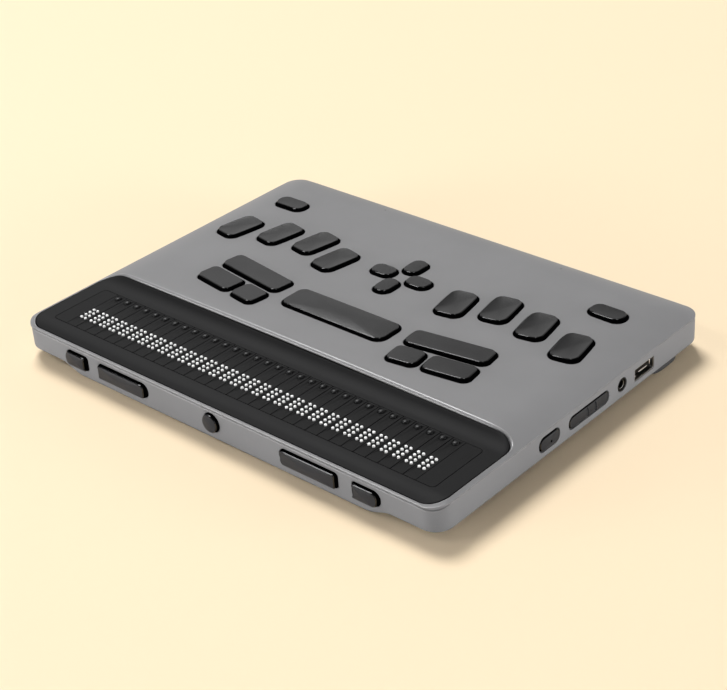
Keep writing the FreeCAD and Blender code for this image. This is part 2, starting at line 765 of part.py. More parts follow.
def build_lower_case():
    """The tray with its walls, the belly in front, the posts and every opening in the walls."""
    body = new_body("lower_case")
    tray = new_sketch(body, "tray", "casing_underside")
    plan("0", "front_rim_overhang")(tray)
    pad(body, tray, f"{SEAM} - seam_gap - casing_underside")

    belly = new_sketch(body, "belly", f"-{WALL_FRONT}", "XZ_Plane")
    wide = "(belly_half_width + belly_ramp)"
    half_way = ("(belly_half_width + belly_ramp / 2)", "(belly_underside + casing_underside) / 2")
    draw_profile(
        belly,
        [
            ("-belly_half_width", "belly_underside"), ("belly_half_width", "belly_underside"),
            half_way, (wide, "casing_underside"), (wide, "casing_underside + casing_edge_radius"),
            (f"-{wide}", "casing_underside + casing_edge_radius"), (f"-{wide}", "casing_underside"),
            (f"-{half_way[0]}", half_way[1]),
        ],
        {1: "belly_half_width", 2: wide, 6: f"-{wide}", 7: "-belly_half_width"},
    )
    belly_pad = pad(body, belly, "belly_depth", backwards=True)
    doc.recompute([body])
    edge_radius = number("casing_edge_radius")
    low, high = number("belly_underside"), number("casing_underside")
    front = number(WALL_FRONT)
    corner = number("corner_radius")
    side, back = number(RIGHT), number(BACK)

    def is_outer_bottom(box):
        if box.ZMax > high + 1e-3:
            return False
        on_front = box.YMax < front + 1e-3
        on_side = box.XMin > side - 1e-3 or box.XMax < -side + 1e-3
        on_back = box.YMin > back - 1e-3
        level = box.ZMin > high - 1e-3
        small = box.XLength < corner + 1e-3 and box.YLength < corner + 1e-3
        outside = max(abs(box.XMin), abs(box.XMax)) > side - 1e-3
        return on_front or (level and (on_side or on_back or (small and outside)))
    round_edges(body, belly_pad, "casing_edge_radius", is_outer_bottom)

    inside = new_sketch(body, "inside", "deck_height")
    plan("wall_thickness", "(wall_thickness + front_rim_overhang)")(inside)
    pocket(body, inside, f"deck_height - {FLOOR_TOP}")

    hollow = new_sketch(body, "belly_hollow", FLOOR_TOP)
    draw_rounded(
        hollow,
        "-(belly_half_width - floor_thickness)", "belly_half_width - floor_thickness",
        behind("belly_sill"), behind("(front_rim_overhang + belly_depth - wall_thickness)"),
        "corner_radius / 2",
    )
    pocket(body, hollow, f"{FLOOR_TOP} - belly_underside - floor_thickness")

    key_room = "(thumb_flange_gap + thumb_flange_thickness + thumb_travel + thumb_rest_gap)"
    thumb_low = "(thumb_height - thumb_key_depth / 2)"
    home_low = "(thumb_height - home_radius)"
    trough_half = "(thumb_short_x + thumb_short_width / 2)"
    for name, half, low in (("trough", trough_half, thumb_low), ("home_pit", "home_radius", home_low)):
        room = new_sketch(body, name, f"{low} - thumb_flange - skirt_clearance")
        draw_rounded(
            room,
            f"-({half} + thumb_flange + 2 * skirt_clearance)",
            f"{half} + thumb_flange + 2 * skirt_clearance",
            f"{WALL_FRONT} + wall_thickness", f"{WALL_FRONT} + wall_thickness + {key_room}",
            "skirt_clearance",
        )
        pocket(body, room, "thumb_key_depth", backwards=True)

    front_seam = new_sketch(body, "front_seam", f"-{RIGHT} - corner_radius", "YZ_Plane")
    top = "(front_seam_height - seam_gap)"
    draw_profile(
        front_seam,
        [
            (f"{FRONT} - corner_radius", top), (f"{FRONT} + corner_radius - seam_ramp", top),
            (f"{FRONT} + corner_radius", f"{SEAM} - seam_gap"),
            (f"{FRONT} + corner_radius", "deck_height"), (f"{FRONT} - corner_radius", "deck_height"),
        ],
    )
    pocket(body, front_seam, "body_width + 2 * corner_radius", backwards=True)

    for number_in_row, from_front in enumerate(("post_first", "post_middle", "post_last")):
        posts = new_sketch(body, f"posts_{number_in_row}", FLOOR_TOP)
        shafts = new_sketch(body, f"post_shafts_{number_in_row}", "casing_underside")
        heads = new_sketch(body, f"post_heads_{number_in_row}", "casing_underside")
        for tag, across in (("a", "-post_x"), ("b", "post_x")):
            draw_circle(posts, across, behind(from_front), "post_radius", tag)
            draw_circle(shafts, across, behind(from_front), "screw_radius + screw_clearance", tag)
            draw_circle(heads, across, behind(from_front), "screw_head_radius + screw_clearance", tag)
        pad(body, posts, f"{KEY_BOARD_TOP} - key_board_thickness - {FLOOR_TOP}")
        pocket(body, shafts, "screw_head_height + screw_length + screw_clearance", backwards=True)
        pocket(body, heads, "screw_head_height", backwards=True)

    cut_front_wall(body)
    cut_side_walls(body)
    cut_speaker_slots(body)
    return body


def thumb_keys():
    """The keys of the front wall: name, sides or radius, with the rounder end outwards or inwards."""
    keys = [("home_key", "0", None, None)]
    for side, name in (("-", "left"), ("", "right")):
        long_ends = ("thumb_square_radius", "thumb_round_radius")
        short_ends = ("thumb_round_radius", "thumb_square_radius")
        if not side:
            long_ends, short_ends = long_ends[::-1], short_ends[::-1]
        keys.append((f"{name}_long_thumb_key", f"{side}thumb_long_x", "thumb_long_width", long_ends))
        keys.append((f"{name}_short_thumb_key", f"{side}thumb_short_x", "thumb_short_width", short_ends))
    return keys


def draw_thumb(sketch, across, width, ends, growth, tag=""):
    """A front key's outline on the wall, grown by a distance."""
    if width is None:
        draw_circle(sketch, across, "thumb_height", f"home_radius + {growth}", tag)
        return
    left, right = (f"{end} + {growth}" for end in ends)
    draw_rounded(
        sketch,
        f"{across} - {width} / 2 - {growth}", f"{across} + {width} / 2 + {growth}",
        f"thumb_height - thumb_key_depth / 2 - {growth}",
        f"thumb_height + thumb_key_depth / 2 + {growth}",
        [left, right, right, left], tag,
    )


def cut_front_wall(body):
    openings = new_sketch(body, "thumb_openings", f"-{WALL_FRONT} + corner_radius", "XZ_Plane")
    for place, (name, across, width, ends) in enumerate(thumb_keys()):
        draw_thumb(openings, across, width, ends, "key_clearance", f"_{place}")
    pocket(body, openings, "corner_radius + wall_thickness + skirt_clearance")


def cut_side_walls(body):
    """Openings for the power button, the rocker and the ports on both sides."""
    right = new_sketch(body, "right_openings", f"{RIGHT} + corner_radius", "YZ_Plane")
    draw_side_button(right, "power", "key_clearance", "_power")
    draw_side_button(right, "volume", "key_clearance", "_volume")
    draw_circle(right, behind("jack_from_front"), "jack_height", "jack_radius + port_clearance", "_jack")
    draw_port(right, "usb_from_front", "usb_height", "usb_width", "usb_depth", "port_clearance", "_usb")
    pocket(body, right, "corner_radius + wall_thickness + skirt_clearance")
    left = new_sketch(body, "left_openings", f"-{RIGHT} - corner_radius", "YZ_Plane")
    for place in range(2):
        draw_port(left, f"(usb_c_first + {place} * usb_c_pitch)", "usb_c_height", "usb_c_width",
                  "usb_c_depth", "port_clearance", f"_{place}")
    pocket(body, left, "corner_radius + wall_thickness + skirt_clearance", backwards=True)


def draw_side_button(sketch, kind, growth, tag=""):
    half_width = f"({kind}_width / 2 + {growth})"
    half_depth = f"({kind}_depth / 2 + {growth})"
    centre = behind(f"{kind}_from_front")
    draw_rounded(
        sketch,
        f"{centre} - {half_width}", f"{centre} + {half_width}",
        f"side_button_height - {half_depth}", f"side_button_height + {half_depth}",
        f"{kind}_depth / 2 + {growth} - port_inset", tag,
    )


def draw_port(sketch, from_front, height, width, depth, growth, tag=""):
    """A port's outline on a side wall, grown by a distance."""
    centre = behind(from_front)
    draw_rounded(
        sketch,
        f"{centre} - {width} / 2 - {growth}", f"{centre} + {width} / 2 + {growth}",
        f"{height} - {depth} / 2 - {growth}", f"{height} + {depth} / 2 + {growth}",
        f"{depth} / 8 + {growth}", tag,
    )


def cut_speaker_slots(body):
    """Five slots through the floor under each speaker."""
    slots = new_sketch(body, "speaker_slots", "casing_underside - floor_thickness")
    for side, tag in (("-", "l"), ("", "r")):
        for place in range(5):
            middle = behind(f"(speaker_from_front + speaker_depth / 2 + {place - 2} * speaker_slot_pitch)")
            draw_rounded(
                slots,
                f"{side}speaker_x - speaker_width / 3", f"{side}speaker_x + speaker_width / 3",
                f"{middle} - speaker_slot / 2", f"{middle} + speaker_slot / 2",
                "speaker_slot / 2 - seam_gap", f"_{tag}{place}",
            )
    pocket(body, slots, "3 * floor_thickness", backwards=True)


def build_thumb_key(name, across, width, ends):
    """A front key that slides in through the wall onto its switch."""
    body = new_body(name)
    inner_face = f"({WALL_FRONT} + wall_thickness)"
    flange_face = f"({inner_face} + thumb_flange_gap)"
    flange = new_sketch(body, "flange", f"-{flange_face}", "XZ_Plane")
    draw_thumb(flange, across, width, ends, "thumb_flange")
    pad(body, flange, "thumb_flange_thickness", backwards=True)
    stem = new_sketch(body, "stem", f"-{flange_face} - thumb_flange_thickness", "XZ_Plane")
    draw_circle(stem, across, "thumb_height", "thumb_stem_radius")
    pad(body, stem, "thumb_stem", backwards=True)
    cap = new_sketch(body, "cap", f"-{flange_face}", "XZ_Plane")
    draw_thumb(cap, across, width, ends, "0")
    cap_pad = pad(body, cap, "thumb_rise + wall_thickness + thumb_flange_gap")
    face = number(f"{WALL_FRONT} - thumb_rise")
    round_edges(body, cap_pad, "thumb_edge_radius",
                lambda box: box.YMax < face + 1e-4)
    return body


def build_power_button():
    body = new_body("power_button")
    inner_face = f"({RIGHT} - wall_thickness - thumb_flange_gap)"
    flange = new_sketch(body, "flange", inner_face, "YZ_Plane")
    draw_side_button(flange, "power", "thumb_flange")
    pad(body, flange, "thumb_flange_thickness", backwards=True)
    stem = new_sketch(body, "stem", f"{inner_face} - thumb_flange_thickness", "YZ_Plane")
    draw_circle(stem, behind("power_from_front"), "side_button_height", "thumb_stem_radius")
    pad(body, stem, "thumb_stem", backwards=True)
    cap = new_sketch(body, "cap", inner_face, "YZ_Plane")
    draw_side_button(cap, "power", "0")
    cap_pad = pad(body, cap, "side_button_rise + wall_thickness + thumb_flange_gap")
    face = number(f"{RIGHT} + side_button_rise")
    round_edges(body, cap_pad, "thumb_edge_radius", lambda box: box.XMin > face - 1e-4)
    return body


def build_volume_rocker():
    """A rocker with a waist in the middle of its face and a short lip behind the wall."""
    body = new_body("volume_rocker")
    inner_face = f"({RIGHT} - wall_thickness - thumb_flange_gap)"
    centre = behind("volume_from_front")
    lip = new_sketch(body, "lip", inner_face, "YZ_Plane")
    half_depth = "(volume_depth / 2 + thumb_flange)"
    draw_rounded(
        lip, f"{centre} - volume_waist", f"{centre} + volume_waist",
        f"side_button_height - {half_depth}", f"side_button_height + {half_depth}",
        "thumb_flange",
    )
    pad(body, lip, "thumb_flange_thickness", backwards=True)
    cap = new_sketch(body, "cap", inner_face, "YZ_Plane")
    draw_side_button(cap, "volume", "0")
    cap_pad = pad(body, cap, "side_button_rise + wall_thickness + thumb_flange_gap")
    face = number(f"{RIGHT} + side_button_rise")
    round_edges(body, cap_pad, "thumb_edge_radius", lambda box: box.XMin > face - 1e-4)
    waist = new_sketch(body, "waist", f"{RIGHT} + side_button_rise", "YZ_Plane")
    draw_rounded(
        waist, f"{centre} - volume_waist / 2", f"{centre} + volume_waist / 2",
        "side_button_height - volume_depth", "side_button_height + volume_depth",
        "volume_waist_depth",
    )
    pocket(body, waist, "volume_waist_depth")
    return body


def build_cell_caps():
    """One cap with its eight pin holes and its routing hole, repeated along the line."""
    master = new_body("cell_cap")
    tile = new_sketch(master, "tile", CAP_UNDERSIDE)
    half = "((cell_pitch - cell_gap) / 2)"
    draw_rounded(
        tile, f"-{half}", half, behind("strip_from_front"),
        behind("(strip_from_front + strip_depth)"), "cell_gap",
    )
    pad(master, tile, "cell_cap_thickness")
    holes = new_sketch(master, "holes", "display_height")
    for column in range(2):
        for line in range(4):
            draw_circle(
                holes, f"({column} - 0.5) * dot_spacing",
                behind(f"(first_row_from_front - {line} * dot_spacing)"),
                "pin_radius + pin_clearance", f"_{column}{line}",
            )
    draw_circle(holes, "0", behind("routing_from_front"),
                "routing_radius + routing_clearance", "_routing")
    pocket(master, holes, "cell_cap_thickness")
    return repeat_cells("cell_caps", master)


def cell_middle(place):
    return (place - (CELL_COUNT - 1) / 2) * number("cell_pitch")


def repeat_cells(label, master, across=0.0, along=0.0):
    """Set a copy of one cell's piece at every cell of the line."""
    doc.recompute([master])
    row = doc.addObject("Part::Feature", label)
    row.Label = label
    row.Shape = Part.makeCompound([
        master.Shape.translated(Vector(cell_middle(place) + across, along, 0))
        for place in range(CELL_COUNT)
    ])
    return row


def build_braille_pins():
    """Each dot position's pins, one solid for each cell, from one round-tipped pin."""
    master = new_body("braille_pin")
    shaft = new_sketch(master, "shaft", "display_height + pin_rise - pin_length")
    draw_circle(shaft, "0", "0", "pin_radius")
    shaft_pad = pad(master, shaft, "pin_length")
    round_edges(master, shaft_pad, "pin_radius - pin_clearance",
                flat_at("display_height + pin_rise"))
    rows = []
    dot_order = {1: (0, 0), 2: (0, 1), 3: (0, 2), 7: (0, 3), 4: (1, 0), 5: (1, 1), 6: (1, 2), 8: (1, 3)}
    for dot, (column, line) in sorted(dot_order.items()):
        across = number(f"({column} - 0.5) * dot_spacing")
        along = number(behind(f"(first_row_from_front - {line} * dot_spacing)"))
        rows.append(repeat_cells(f"braille_pins_dot_{dot}", master, across, along))
    return rows


def build_routing_keys():
    """Domed cursor routing keys with a flange under the cap, one for each cell."""
    master = new_body("routing_key")
    along = behind("routing_from_front")
    flange = new_sketch(master, "flange", f"{ROUTING_FLANGE_TOP} - routing_flange_thickness")
    draw_circle(flange, "0", along, "routing_radius + routing_flange")
    pad(master, flange, "routing_flange_thickness")
    stem = new_sketch(master, "stem", f"{ROUTING_FLANGE_TOP} - routing_flange_thickness")
    draw_circle(stem, "0", along, "routing_radius / 2")
    pad(master, stem, "routing_stem", backwards=True)
    cap = new_sketch(master, "cap", ROUTING_FLANGE_TOP)
    draw_circle(cap, "0", along, "routing_radius")
    cap_pad = pad(master, cap, f"display_height + routing_rise - {ROUTING_FLANGE_TOP}")
    round_edges(master, cap_pad, "routing_rise - routing_clearance",
                flat_at("display_height + routing_rise"))
    return repeat_cells("routing_keys", master)


def build_cell_modules():
    """A reed carrier for each cell: walls under the cap's ends, a channel and a tail behind."""
    front, strip_back = "strip_from_front", "(strip_from_front + strip_depth)"
    master = new_body("cell_module")
    half = "((cell_pitch - module_gap) / 2)"
    side = new_sketch(master, "side", f"-{half}", "YZ_Plane")
    step = behind("(routing_from_front - strip_board_depth + 1.5 * routing_radius)")
    inner_back = behind(f"({strip_back} - module_back_wall)")
    tail = behind(f"({strip_back} + module_tail)")
    draw_profile(
        side,
        [
            (behind(front), BACKPLANE_TOP), (tail, BACKPLANE_TOP), (tail, "module_tail_height"),
            (behind(strip_back), "module_tail_height"), (behind(strip_back), CAP_UNDERSIDE),
            (inner_back, CAP_UNDERSIDE), (inner_back, STRIP_LEDGE), (step, STRIP_LEDGE),
            (step, CHANNEL), (behind(f"({front} + module_wall)"), CHANNEL),
            (behind(f"({front} + module_wall)"), CAP_UNDERSIDE), (behind(front), CAP_UNDERSIDE),
        ],
    )
    pad(master, side, f"2 * {half}")
    return repeat_cells("cell_modules", master)


def build_end_caps():
    """The blank tile at each end of the line, with rounded outer corners and a leg."""
    caps = []
    inner = f"({CELL_COUNT} / 2 * cell_pitch + cell_gap / 2)"
    for side, tag in (("-", "left"), ("", "right")):
        body = new_body(f"end_cap_{tag}")
        tile = new_sketch(body, "tile", CAP_UNDERSIDE)
        outer = "strip_half_width"
        square, rounded = "cell_gap", "strip_corner_radius"
        left, right = (f"-{outer}", f"-{inner}") if side else (inner, outer)
        radii = [rounded, square, square, rounded] if side else [square, rounded, rounded, square]
        draw_rounded(tile, left, right, behind("strip_from_front"),
                     behind("(strip_from_front + strip_depth)"), radii)
        pad(body, tile, "cell_cap_thickness")
        leg = new_sketch(body, "leg", CAP_UNDERSIDE)
        middle = f"({side}({inner} + module_wall))"
        draw_rounded(
            leg, f"{middle} - module_wall / 2", f"{middle} + module_wall / 2",
            behind("(strip_from_front + module_wall)"),
            behind("(strip_from_front + strip_depth - module_wall)"), "cell_gap",
        )
        pad(body, leg, f"{CAP_UNDERSIDE} - {FLOOR_TOP} - board_gap", backwards=True)
        caps.append(body)
    return group("strip_end_caps", caps)


def group(label, bodies):
    """Keep several like pieces in one sub-part, each as a solid of its own."""
    doc.recompute(bodies)
    together = doc.addObject("Part::Feature", label)
    together.Label = label
    together.Shape = Part.makeCompound([body.Shape for body in bodies])
    return together


def build_block(label, left, right, front, back, bottom, top, radius="cell_gap"):
    """A board or other plain piece: a rounded rectangle between two heights."""
    body = new_body(label)
    outline = new_sketch(body, "outline", bottom)
    draw_rounded(outline, left, right, front, back, radius)
    pad(body, outline, f"({top}) - ({bottom})")
    return body


def build_boards():
    """The boards and other flat pieces inside, from the floor up."""
    base = f"({FLOOR_TOP} + board_gap)"
    strip_back = "(strip_from_front + strip_depth)"
    span = f"({CELL_COUNT} / 2 * cell_pitch)"
    pieces = [
        build_block("cell_backplane", f"-{span}", span, behind("strip_from_front"),
                    behind(f"({strip_back} + module_tail)"), base, BACKPLANE_TOP),
        build_block("routing_switch_strip", f"-{span}", span,
                    behind("(routing_from_front + 1.5 * routing_radius - strip_board_depth"
                           " + routing_clearance)"),
                    behind(f"({strip_back} - module_back_wall - routing_clearance)"),
                    STRIP_LEDGE, STRIP_BOARD_TOP),
        build_block("battery_pack", "battery_left", "battery_left + battery_width",
                    behind("battery_from_front"), behind("(battery_from_front + battery_depth)"),
                    base, f"{base} + battery_height", "module_wall"),
    ]
    board = build_block("main_board", "main_board_left", "main_board_right",
                        behind("main_board_from_front"),
                        behind("(main_board_from_front + main_board_depth)"), base, MAIN_BOARD_TOP,
                        "strip_corner_radius")
    post_hole = new_sketch(board, "post_hole", MAIN_BOARD_TOP)
    draw_circle(post_hole, "post_x", behind("post_middle"), "post_radius + post_board_clearance")
    pocket(board, post_hole, "main_board_thickness")
    pieces.append(board)
    middle_x = "((main_board_left + main_board_right) / 2)"
    middle_y = behind("(main_board_from_front + main_board_depth / 2)")
    pieces.append(build_block(
        "processor_shield", f"{middle_x} - shield_width / 2", f"{middle_x} + shield_width / 2",
        f"{middle_y} - shield_depth / 2", f"{middle_y} + shield_depth / 2",
        MAIN_BOARD_TOP, f"{MAIN_BOARD_TOP} + shield_height", "strip_corner_radius"))
    pieces.append(build_block(
        "keyboard_board", "-key_board_half_width", "key_board_half_width",
        behind("key_board_from_front"), behind("(key_board_from_front + key_board_depth)"),
        f"{KEY_BOARD_TOP} - key_board_thickness", KEY_BOARD_TOP, "strip_corner_radius"))
    return pieces


def build_key_domes():
    """A snap dome under every key of the deck."""
    domes = []
    for name, kind, across, from_front, slant in DECK_KEYS:
        dome = new_body(f"{name}_dome", across, behind(from_front))
        foot = new_sketch(dome, "foot", KEY_BOARD_TOP)
        draw_circle(foot, "0", "0", "dome_radius")
        foot_pad = pad(dome, foot, "dome_height")
        round_edges(dome, foot_pad, "dome_height - board_gap",
                    flat_at(f"{KEY_BOARD_TOP} + dome_height"))
        domes.append(dome)
    return group("key_domes", domes)


def build_edge_boards():
    """The board behind the front keys, the one behind the side buttons and the left port board."""
    base = f"({FLOOR_TOP} + board_gap)"
    thumb_face = (f"({WALL_FRONT} + wall_thickness + thumb_flange_gap + thumb_flange_thickness"
                  " + thumb_stem + thumb_travel + thumb_rest_gap)")
    thumb_half = "(thumb_short_x + thumb_short_width / 2 + thumb_flange)"
    thumb_board = build_block(
        "thumb_board", f"-{thumb_half}", thumb_half, thumb_face,
        f"{thumb_face} + edge_board_thickness", base, "thumb_height + thumb_key_depth / 2")
    side_face = (f"({RIGHT} - wall_thickness - thumb_flange_gap - thumb_flange_thickness"
                 " - thumb_stem - power_travel - thumb_rest_gap)")
    side_board = build_block(
        "side_board", f"{side_face} - edge_board_thickness", side_face,
        behind("(power_from_front - power_width / 2)"),
        behind("(volume_from_front + volume_width / 2)"),
        f"{MAIN_BOARD_TOP}", "side_button_height + volume_depth / 2")
    port_board = build_block(
        "port_board", f"-({RIGHT} - wall_thickness - edge_board_gap - skirt_clearance)",
        "-(post_x + post_radius + post_board_clearance)",
        behind("(usb_c_first - usb_c_width)"), behind("(usb_c_first + usb_c_pitch + usb_c_width)"),
        base, MAIN_BOARD_TOP)
    return group("edge_boards", [thumb_board, side_board, port_board])


def build_usb_a_port():
    """A shell with an open mouth, a tongue inside and a foot down to the main board."""
    body = new_body("usb_a_port")
    face = f"({RIGHT} - port_inset)"
    shell = new_sketch(body, "shell", face, "YZ_Plane")
    draw_port(shell, "usb_from_front", "usb_height", "usb_width", "usb_depth", "0")
    pad(body, shell, "usb_length", backwards=True)
    foot = new_sketch(body, "foot", f"{RIGHT} - 2 * wall_thickness", "YZ_Plane")
    centre = behind("usb_from_front")
    draw_rounded(foot, f"{centre} - usb_width / 3", f"{centre} + usb_width / 3",
                 MAIN_BOARD_TOP, "usb_height - usb_depth / 3", "cell_gap")
    pad(body, foot, "usb_length - 2 * wall_thickness", backwards=True)
    mouth = new_sketch(body, "mouth", face, "YZ_Plane")
    draw_port(mouth, "usb_from_front", "usb_height", "usb_width", "usb_depth", "(-usb_shell)")
    pocket(body, mouth, "usb_cavity")
    tongue = new_sketch(body, "tongue", f"{face} - usb_cavity", "YZ_Plane")
    draw_rounded(tongue, f"{centre} - usb_width / 2.6", f"{centre} + usb_width / 2.6",
                 "usb_height", "usb_height + usb_depth / 4", "cell_gap")
    pad(body, tongue, "usb_cavity - 3 * port_inset")
    return body


def build_audio_jack():
    body = new_body("audio_jack")
    face = f"({RIGHT} - port_inset)"
    along = behind("jack_from_front")
    barrel = new_sketch(body, "barrel", face, "YZ_Plane")
    draw_circle(barrel, along, "jack_height", "jack_radius")
    pad(body, barrel, "wall_thickness + jack_radius", backwards=True)
    block = new_sketch(body, "block", f"{RIGHT} - 2 * wall_thickness", "YZ_Plane")
    half = "(jack_radius + port_inset)"
    draw_rounded(block, f"{along} - {half}", f"{along} + {half}", MAIN_BOARD_TOP,
                 "jack_height + jack_radius - port_inset", "port_inset")
    pad(body, block, "jack_bore_depth", backwards=True)
    bore = new_sketch(body, "bore", face, "YZ_Plane")
    draw_circle(bore, along, "jack_height", "jack_bore_radius")
    pocket(body, bore, "jack_bore_depth")
    return body


def build_usb_c_ports():
    """Two reversible ports with their tongues, on the left port board."""
    ports = []
    face = f"(-{RIGHT} + port_inset)"
    for place in range(2):
        from_front = f"(usb_c_first + {place} * usb_c_pitch)"
        centre = behind(from_front)
        body = new_body(f"usb_c_port_{place + 1}")
        shell = new_sketch(body, "shell", face, "YZ_Plane")
        draw_port(shell, from_front, "usb_c_height", "usb_c_width", "usb_c_depth", "0")
        pad(body, shell, "usb_c_length")
        foot = new_sketch(body, "foot", f"(-{RIGHT} + 2 * wall_thickness)", "YZ_Plane")
        draw_rounded(foot, f"{centre} - usb_c_width / 3", f"{centre} + usb_c_width / 3",
                     MAIN_BOARD_TOP, "usb_c_height - usb_c_depth / 3", "cell_gap")
        pad(body, foot, "usb_c_length - 2 * wall_thickness")
        mouth = new_sketch(body, "mouth", face, "YZ_Plane")
        draw_port(mouth, from_front, "usb_c_height", "usb_c_width", "usb_c_depth", "(-usb_c_shell)")
        pocket(body, mouth, "usb_c_cavity", backwards=True)
        tongue = new_sketch(body, "tongue", f"{face} + usb_c_cavity", "YZ_Plane")
        draw_rounded(tongue, f"{centre} - usb_c_width / 3", f"{centre} + usb_c_width / 3",
                     "usb_c_height - usb_c_shell", "usb_c_height + usb_c_shell", "cell_gap")
        pad(body, tongue, "usb_c_cavity - 2 * port_inset", backwards=True)
        ports.append(body)
    return group("usb_c_ports", ports)


def build_small_pieces():
    """Speakers, microphones, screws, feet, pads and the flat cables."""
    pieces = []
    base = f"({FLOOR_TOP} + board_gap)"
    speakers, microphones, feet, pads = [], [], [], []
    microphone_top = f"({COVER_UNDERSIDE} - 6 * board_gap)"
    for side, tag in (("-", "left"), ("", "right")):
        speakers.append(build_block(
            f"speaker_{tag}", f"{side}speaker_x - speaker_width / 2",
            f"{side}speaker_x + speaker_width / 2", behind("speaker_from_front"),
            behind("(speaker_from_front + speaker_depth)"), base, f"{base} + speaker_height",
            "strip_corner_radius"))
        middle = behind("microphone_from_front")
        microphones.append(build_block(
            f"microphone_{tag}", f"{side}microphone_x - pin_length / 3",
            f"{side}microphone_x + pin_length / 3", f"{middle} - pin_length / 3",
            f"{middle} + pin_length / 3", f"{microphone_top} - screw_head_height", microphone_top))
        foot = build_block(
            f"rear_foot_{tag}", f"{side}foot_x - foot_width / 2", f"{side}foot_x + foot_width / 2",
            behind("(foot_from_front - foot_depth / 2)"), behind("(foot_from_front + foot_depth / 2)"),
            "0", "casing_underside", "foot_radius")
        round_edges(foot, foot.Tip, "foot_edge_radius", flat_at("0"))
        screw_seat = new_sketch(foot, "screw_relief", "casing_underside")
        draw_circle(screw_seat, f"{side}post_x", behind("post_last"),
                    "screw_head_radius + screw_clearance")
        pocket(foot, screw_seat, "screw_head_height / 2")
        feet.append(foot)
        pads.append(build_block(
            f"front_pad_{tag}", f"{side}pad_x - pad_width / 2", f"{side}pad_x + pad_width / 2",
            behind("pad_from_front"), behind("(pad_from_front + pad_depth)"), "0",
            "belly_underside", "pad_depth / 2 - board_gap"))
    pieces += [group("speakers", speakers), group("microphones", microphones)]
    pieces += [group("rear_feet", feet), group("front_foot_pads", pads), build_screws()]
    keyboard_flex = build_block(
        "keyboard_flex", "main_board_left + flex_width", "main_board_left + 2 * flex_width",
        behind("(main_board_from_front + flex_thickness)"),
        behind("(main_board_from_front + 2 * flex_thickness)"),
        MAIN_BOARD_TOP, f"{KEY_BOARD_TOP} - key_board_thickness", "flex_thickness / 4")
    display_flex = build_block(
        "display_flex", "main_board_left + 3 * flex_width", "main_board_left + 5 * flex_width",
        behind("(strip_from_front + strip_depth + module_tail + board_gap)"),
        behind("(main_board_from_front - board_gap)"), base, f"{base} + flex_thickness", "flex_thickness / 4")
    pieces.append(group("flex_cables", [keyboard_flex, display_flex]))
    return pieces


def build_screws():
    screws = []
    for side, tag in (("-", "left"), ("", "right")):
        for from_front in ("post_first", "post_middle", "post_last"):
            screw = new_body(f"screw_{tag}_{from_front}", f"{side}post_x", behind(from_front))
            head = new_sketch(screw, "head", "casing_underside")
            draw_circle(head, "0", "0", "screw_head_radius")
            pad(screw, head, "screw_head_height")
            shank = new_sketch(screw, "shank", "casing_underside + screw_head_height")
            draw_circle(shank, "0", "0", "screw_radius")
            pad(screw, shank, "screw_length")
            drive = new_sketch(screw, "drive", "casing_underside")
            draw_circle(drive, "0", "0", "screw_radius / 2")
            pocket(screw, drive, "screw_head_height / 2", backwards=True)
            screws.append(screw)
    return group("case_screws", screws)


def build_all():
    pieces = [build_lower_case(), build_top_cover(), build_display_bezel()]
    pieces += [build_deck_key(*key) for key in DECK_KEYS]
    pieces += [build_thumb_key(*key) for key in thumb_keys()]
    pieces += [build_power_button(), build_volume_rocker()]
    pieces += [build_cell_caps(), build_end_caps(), build_routing_keys(), build_cell_modules()]
    pieces += build_braille_pins()
    pieces += build_boards()
    pieces += [build_key_domes(), build_edge_boards(), build_usb_a_port(), build_audio_jack()]
    pieces.append(build_usb_c_ports())
    pieces += build_small_pieces()
    return pieces


def check_and_write(pieces):
    """Stop at any failed object or unsound shape, then write each sub-part."""
    doc.recompute()
    for item in doc.Objects:
        if "Invalid" in item.State or "Error" in item.State:
            raise ValueError(f"{item.Name} failed: {item.State}")
    for piece in pieces:
        if piece.Shape.isNull() or not piece.Shape.isValid() or not piece.Shape.Solids:
            raise ValueError(f"{piece.Label} has no sound shape")
    for piece in pieces:
        piece.Shape.exportStep(os.path.join("parts", f"{piece.Label}.step"))
        box = piece.Shape.BoundBox
        print(f"{piece.Label}: {len(piece.Shape.Solids)} solids, {piece.Shape.Volume:.0f} mm3, "
              f"z {box.ZMin:.2f} to {box.ZMax:.2f}")
    print(len(pieces), "sub-parts")


check_and_write(build_all())
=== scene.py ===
import math

import bmesh
import bpy
import numpy as np
from bpy.props import FloatProperty, FloatVectorProperty, IntProperty, PointerProperty
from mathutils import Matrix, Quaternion, Vector
from mathutils.geometry import delaunay_2d_cdt


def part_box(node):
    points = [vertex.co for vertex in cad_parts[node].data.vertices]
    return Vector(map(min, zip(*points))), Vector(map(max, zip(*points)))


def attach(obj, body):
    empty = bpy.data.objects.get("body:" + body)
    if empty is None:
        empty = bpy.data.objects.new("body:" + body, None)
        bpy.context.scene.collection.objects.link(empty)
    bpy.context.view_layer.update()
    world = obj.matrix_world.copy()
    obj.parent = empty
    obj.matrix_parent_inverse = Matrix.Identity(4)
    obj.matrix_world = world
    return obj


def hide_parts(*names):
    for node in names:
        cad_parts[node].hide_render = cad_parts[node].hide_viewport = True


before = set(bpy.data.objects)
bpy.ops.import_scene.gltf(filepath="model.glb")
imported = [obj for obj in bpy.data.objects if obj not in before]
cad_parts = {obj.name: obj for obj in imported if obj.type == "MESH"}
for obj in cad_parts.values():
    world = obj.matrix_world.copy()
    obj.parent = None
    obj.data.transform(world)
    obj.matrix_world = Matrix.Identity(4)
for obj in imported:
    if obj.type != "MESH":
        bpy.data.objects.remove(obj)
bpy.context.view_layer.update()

bl_info = {
    "name": "Braille notetaker",
    "version": (1, 0, 0),
    "blender": (4, 5, 0),
    "location": "3D View > Sidebar > Notetaker",
    "description": "Dresses the packed braille notetaker with finished surfaces and materials",
    "category": "Object",
}

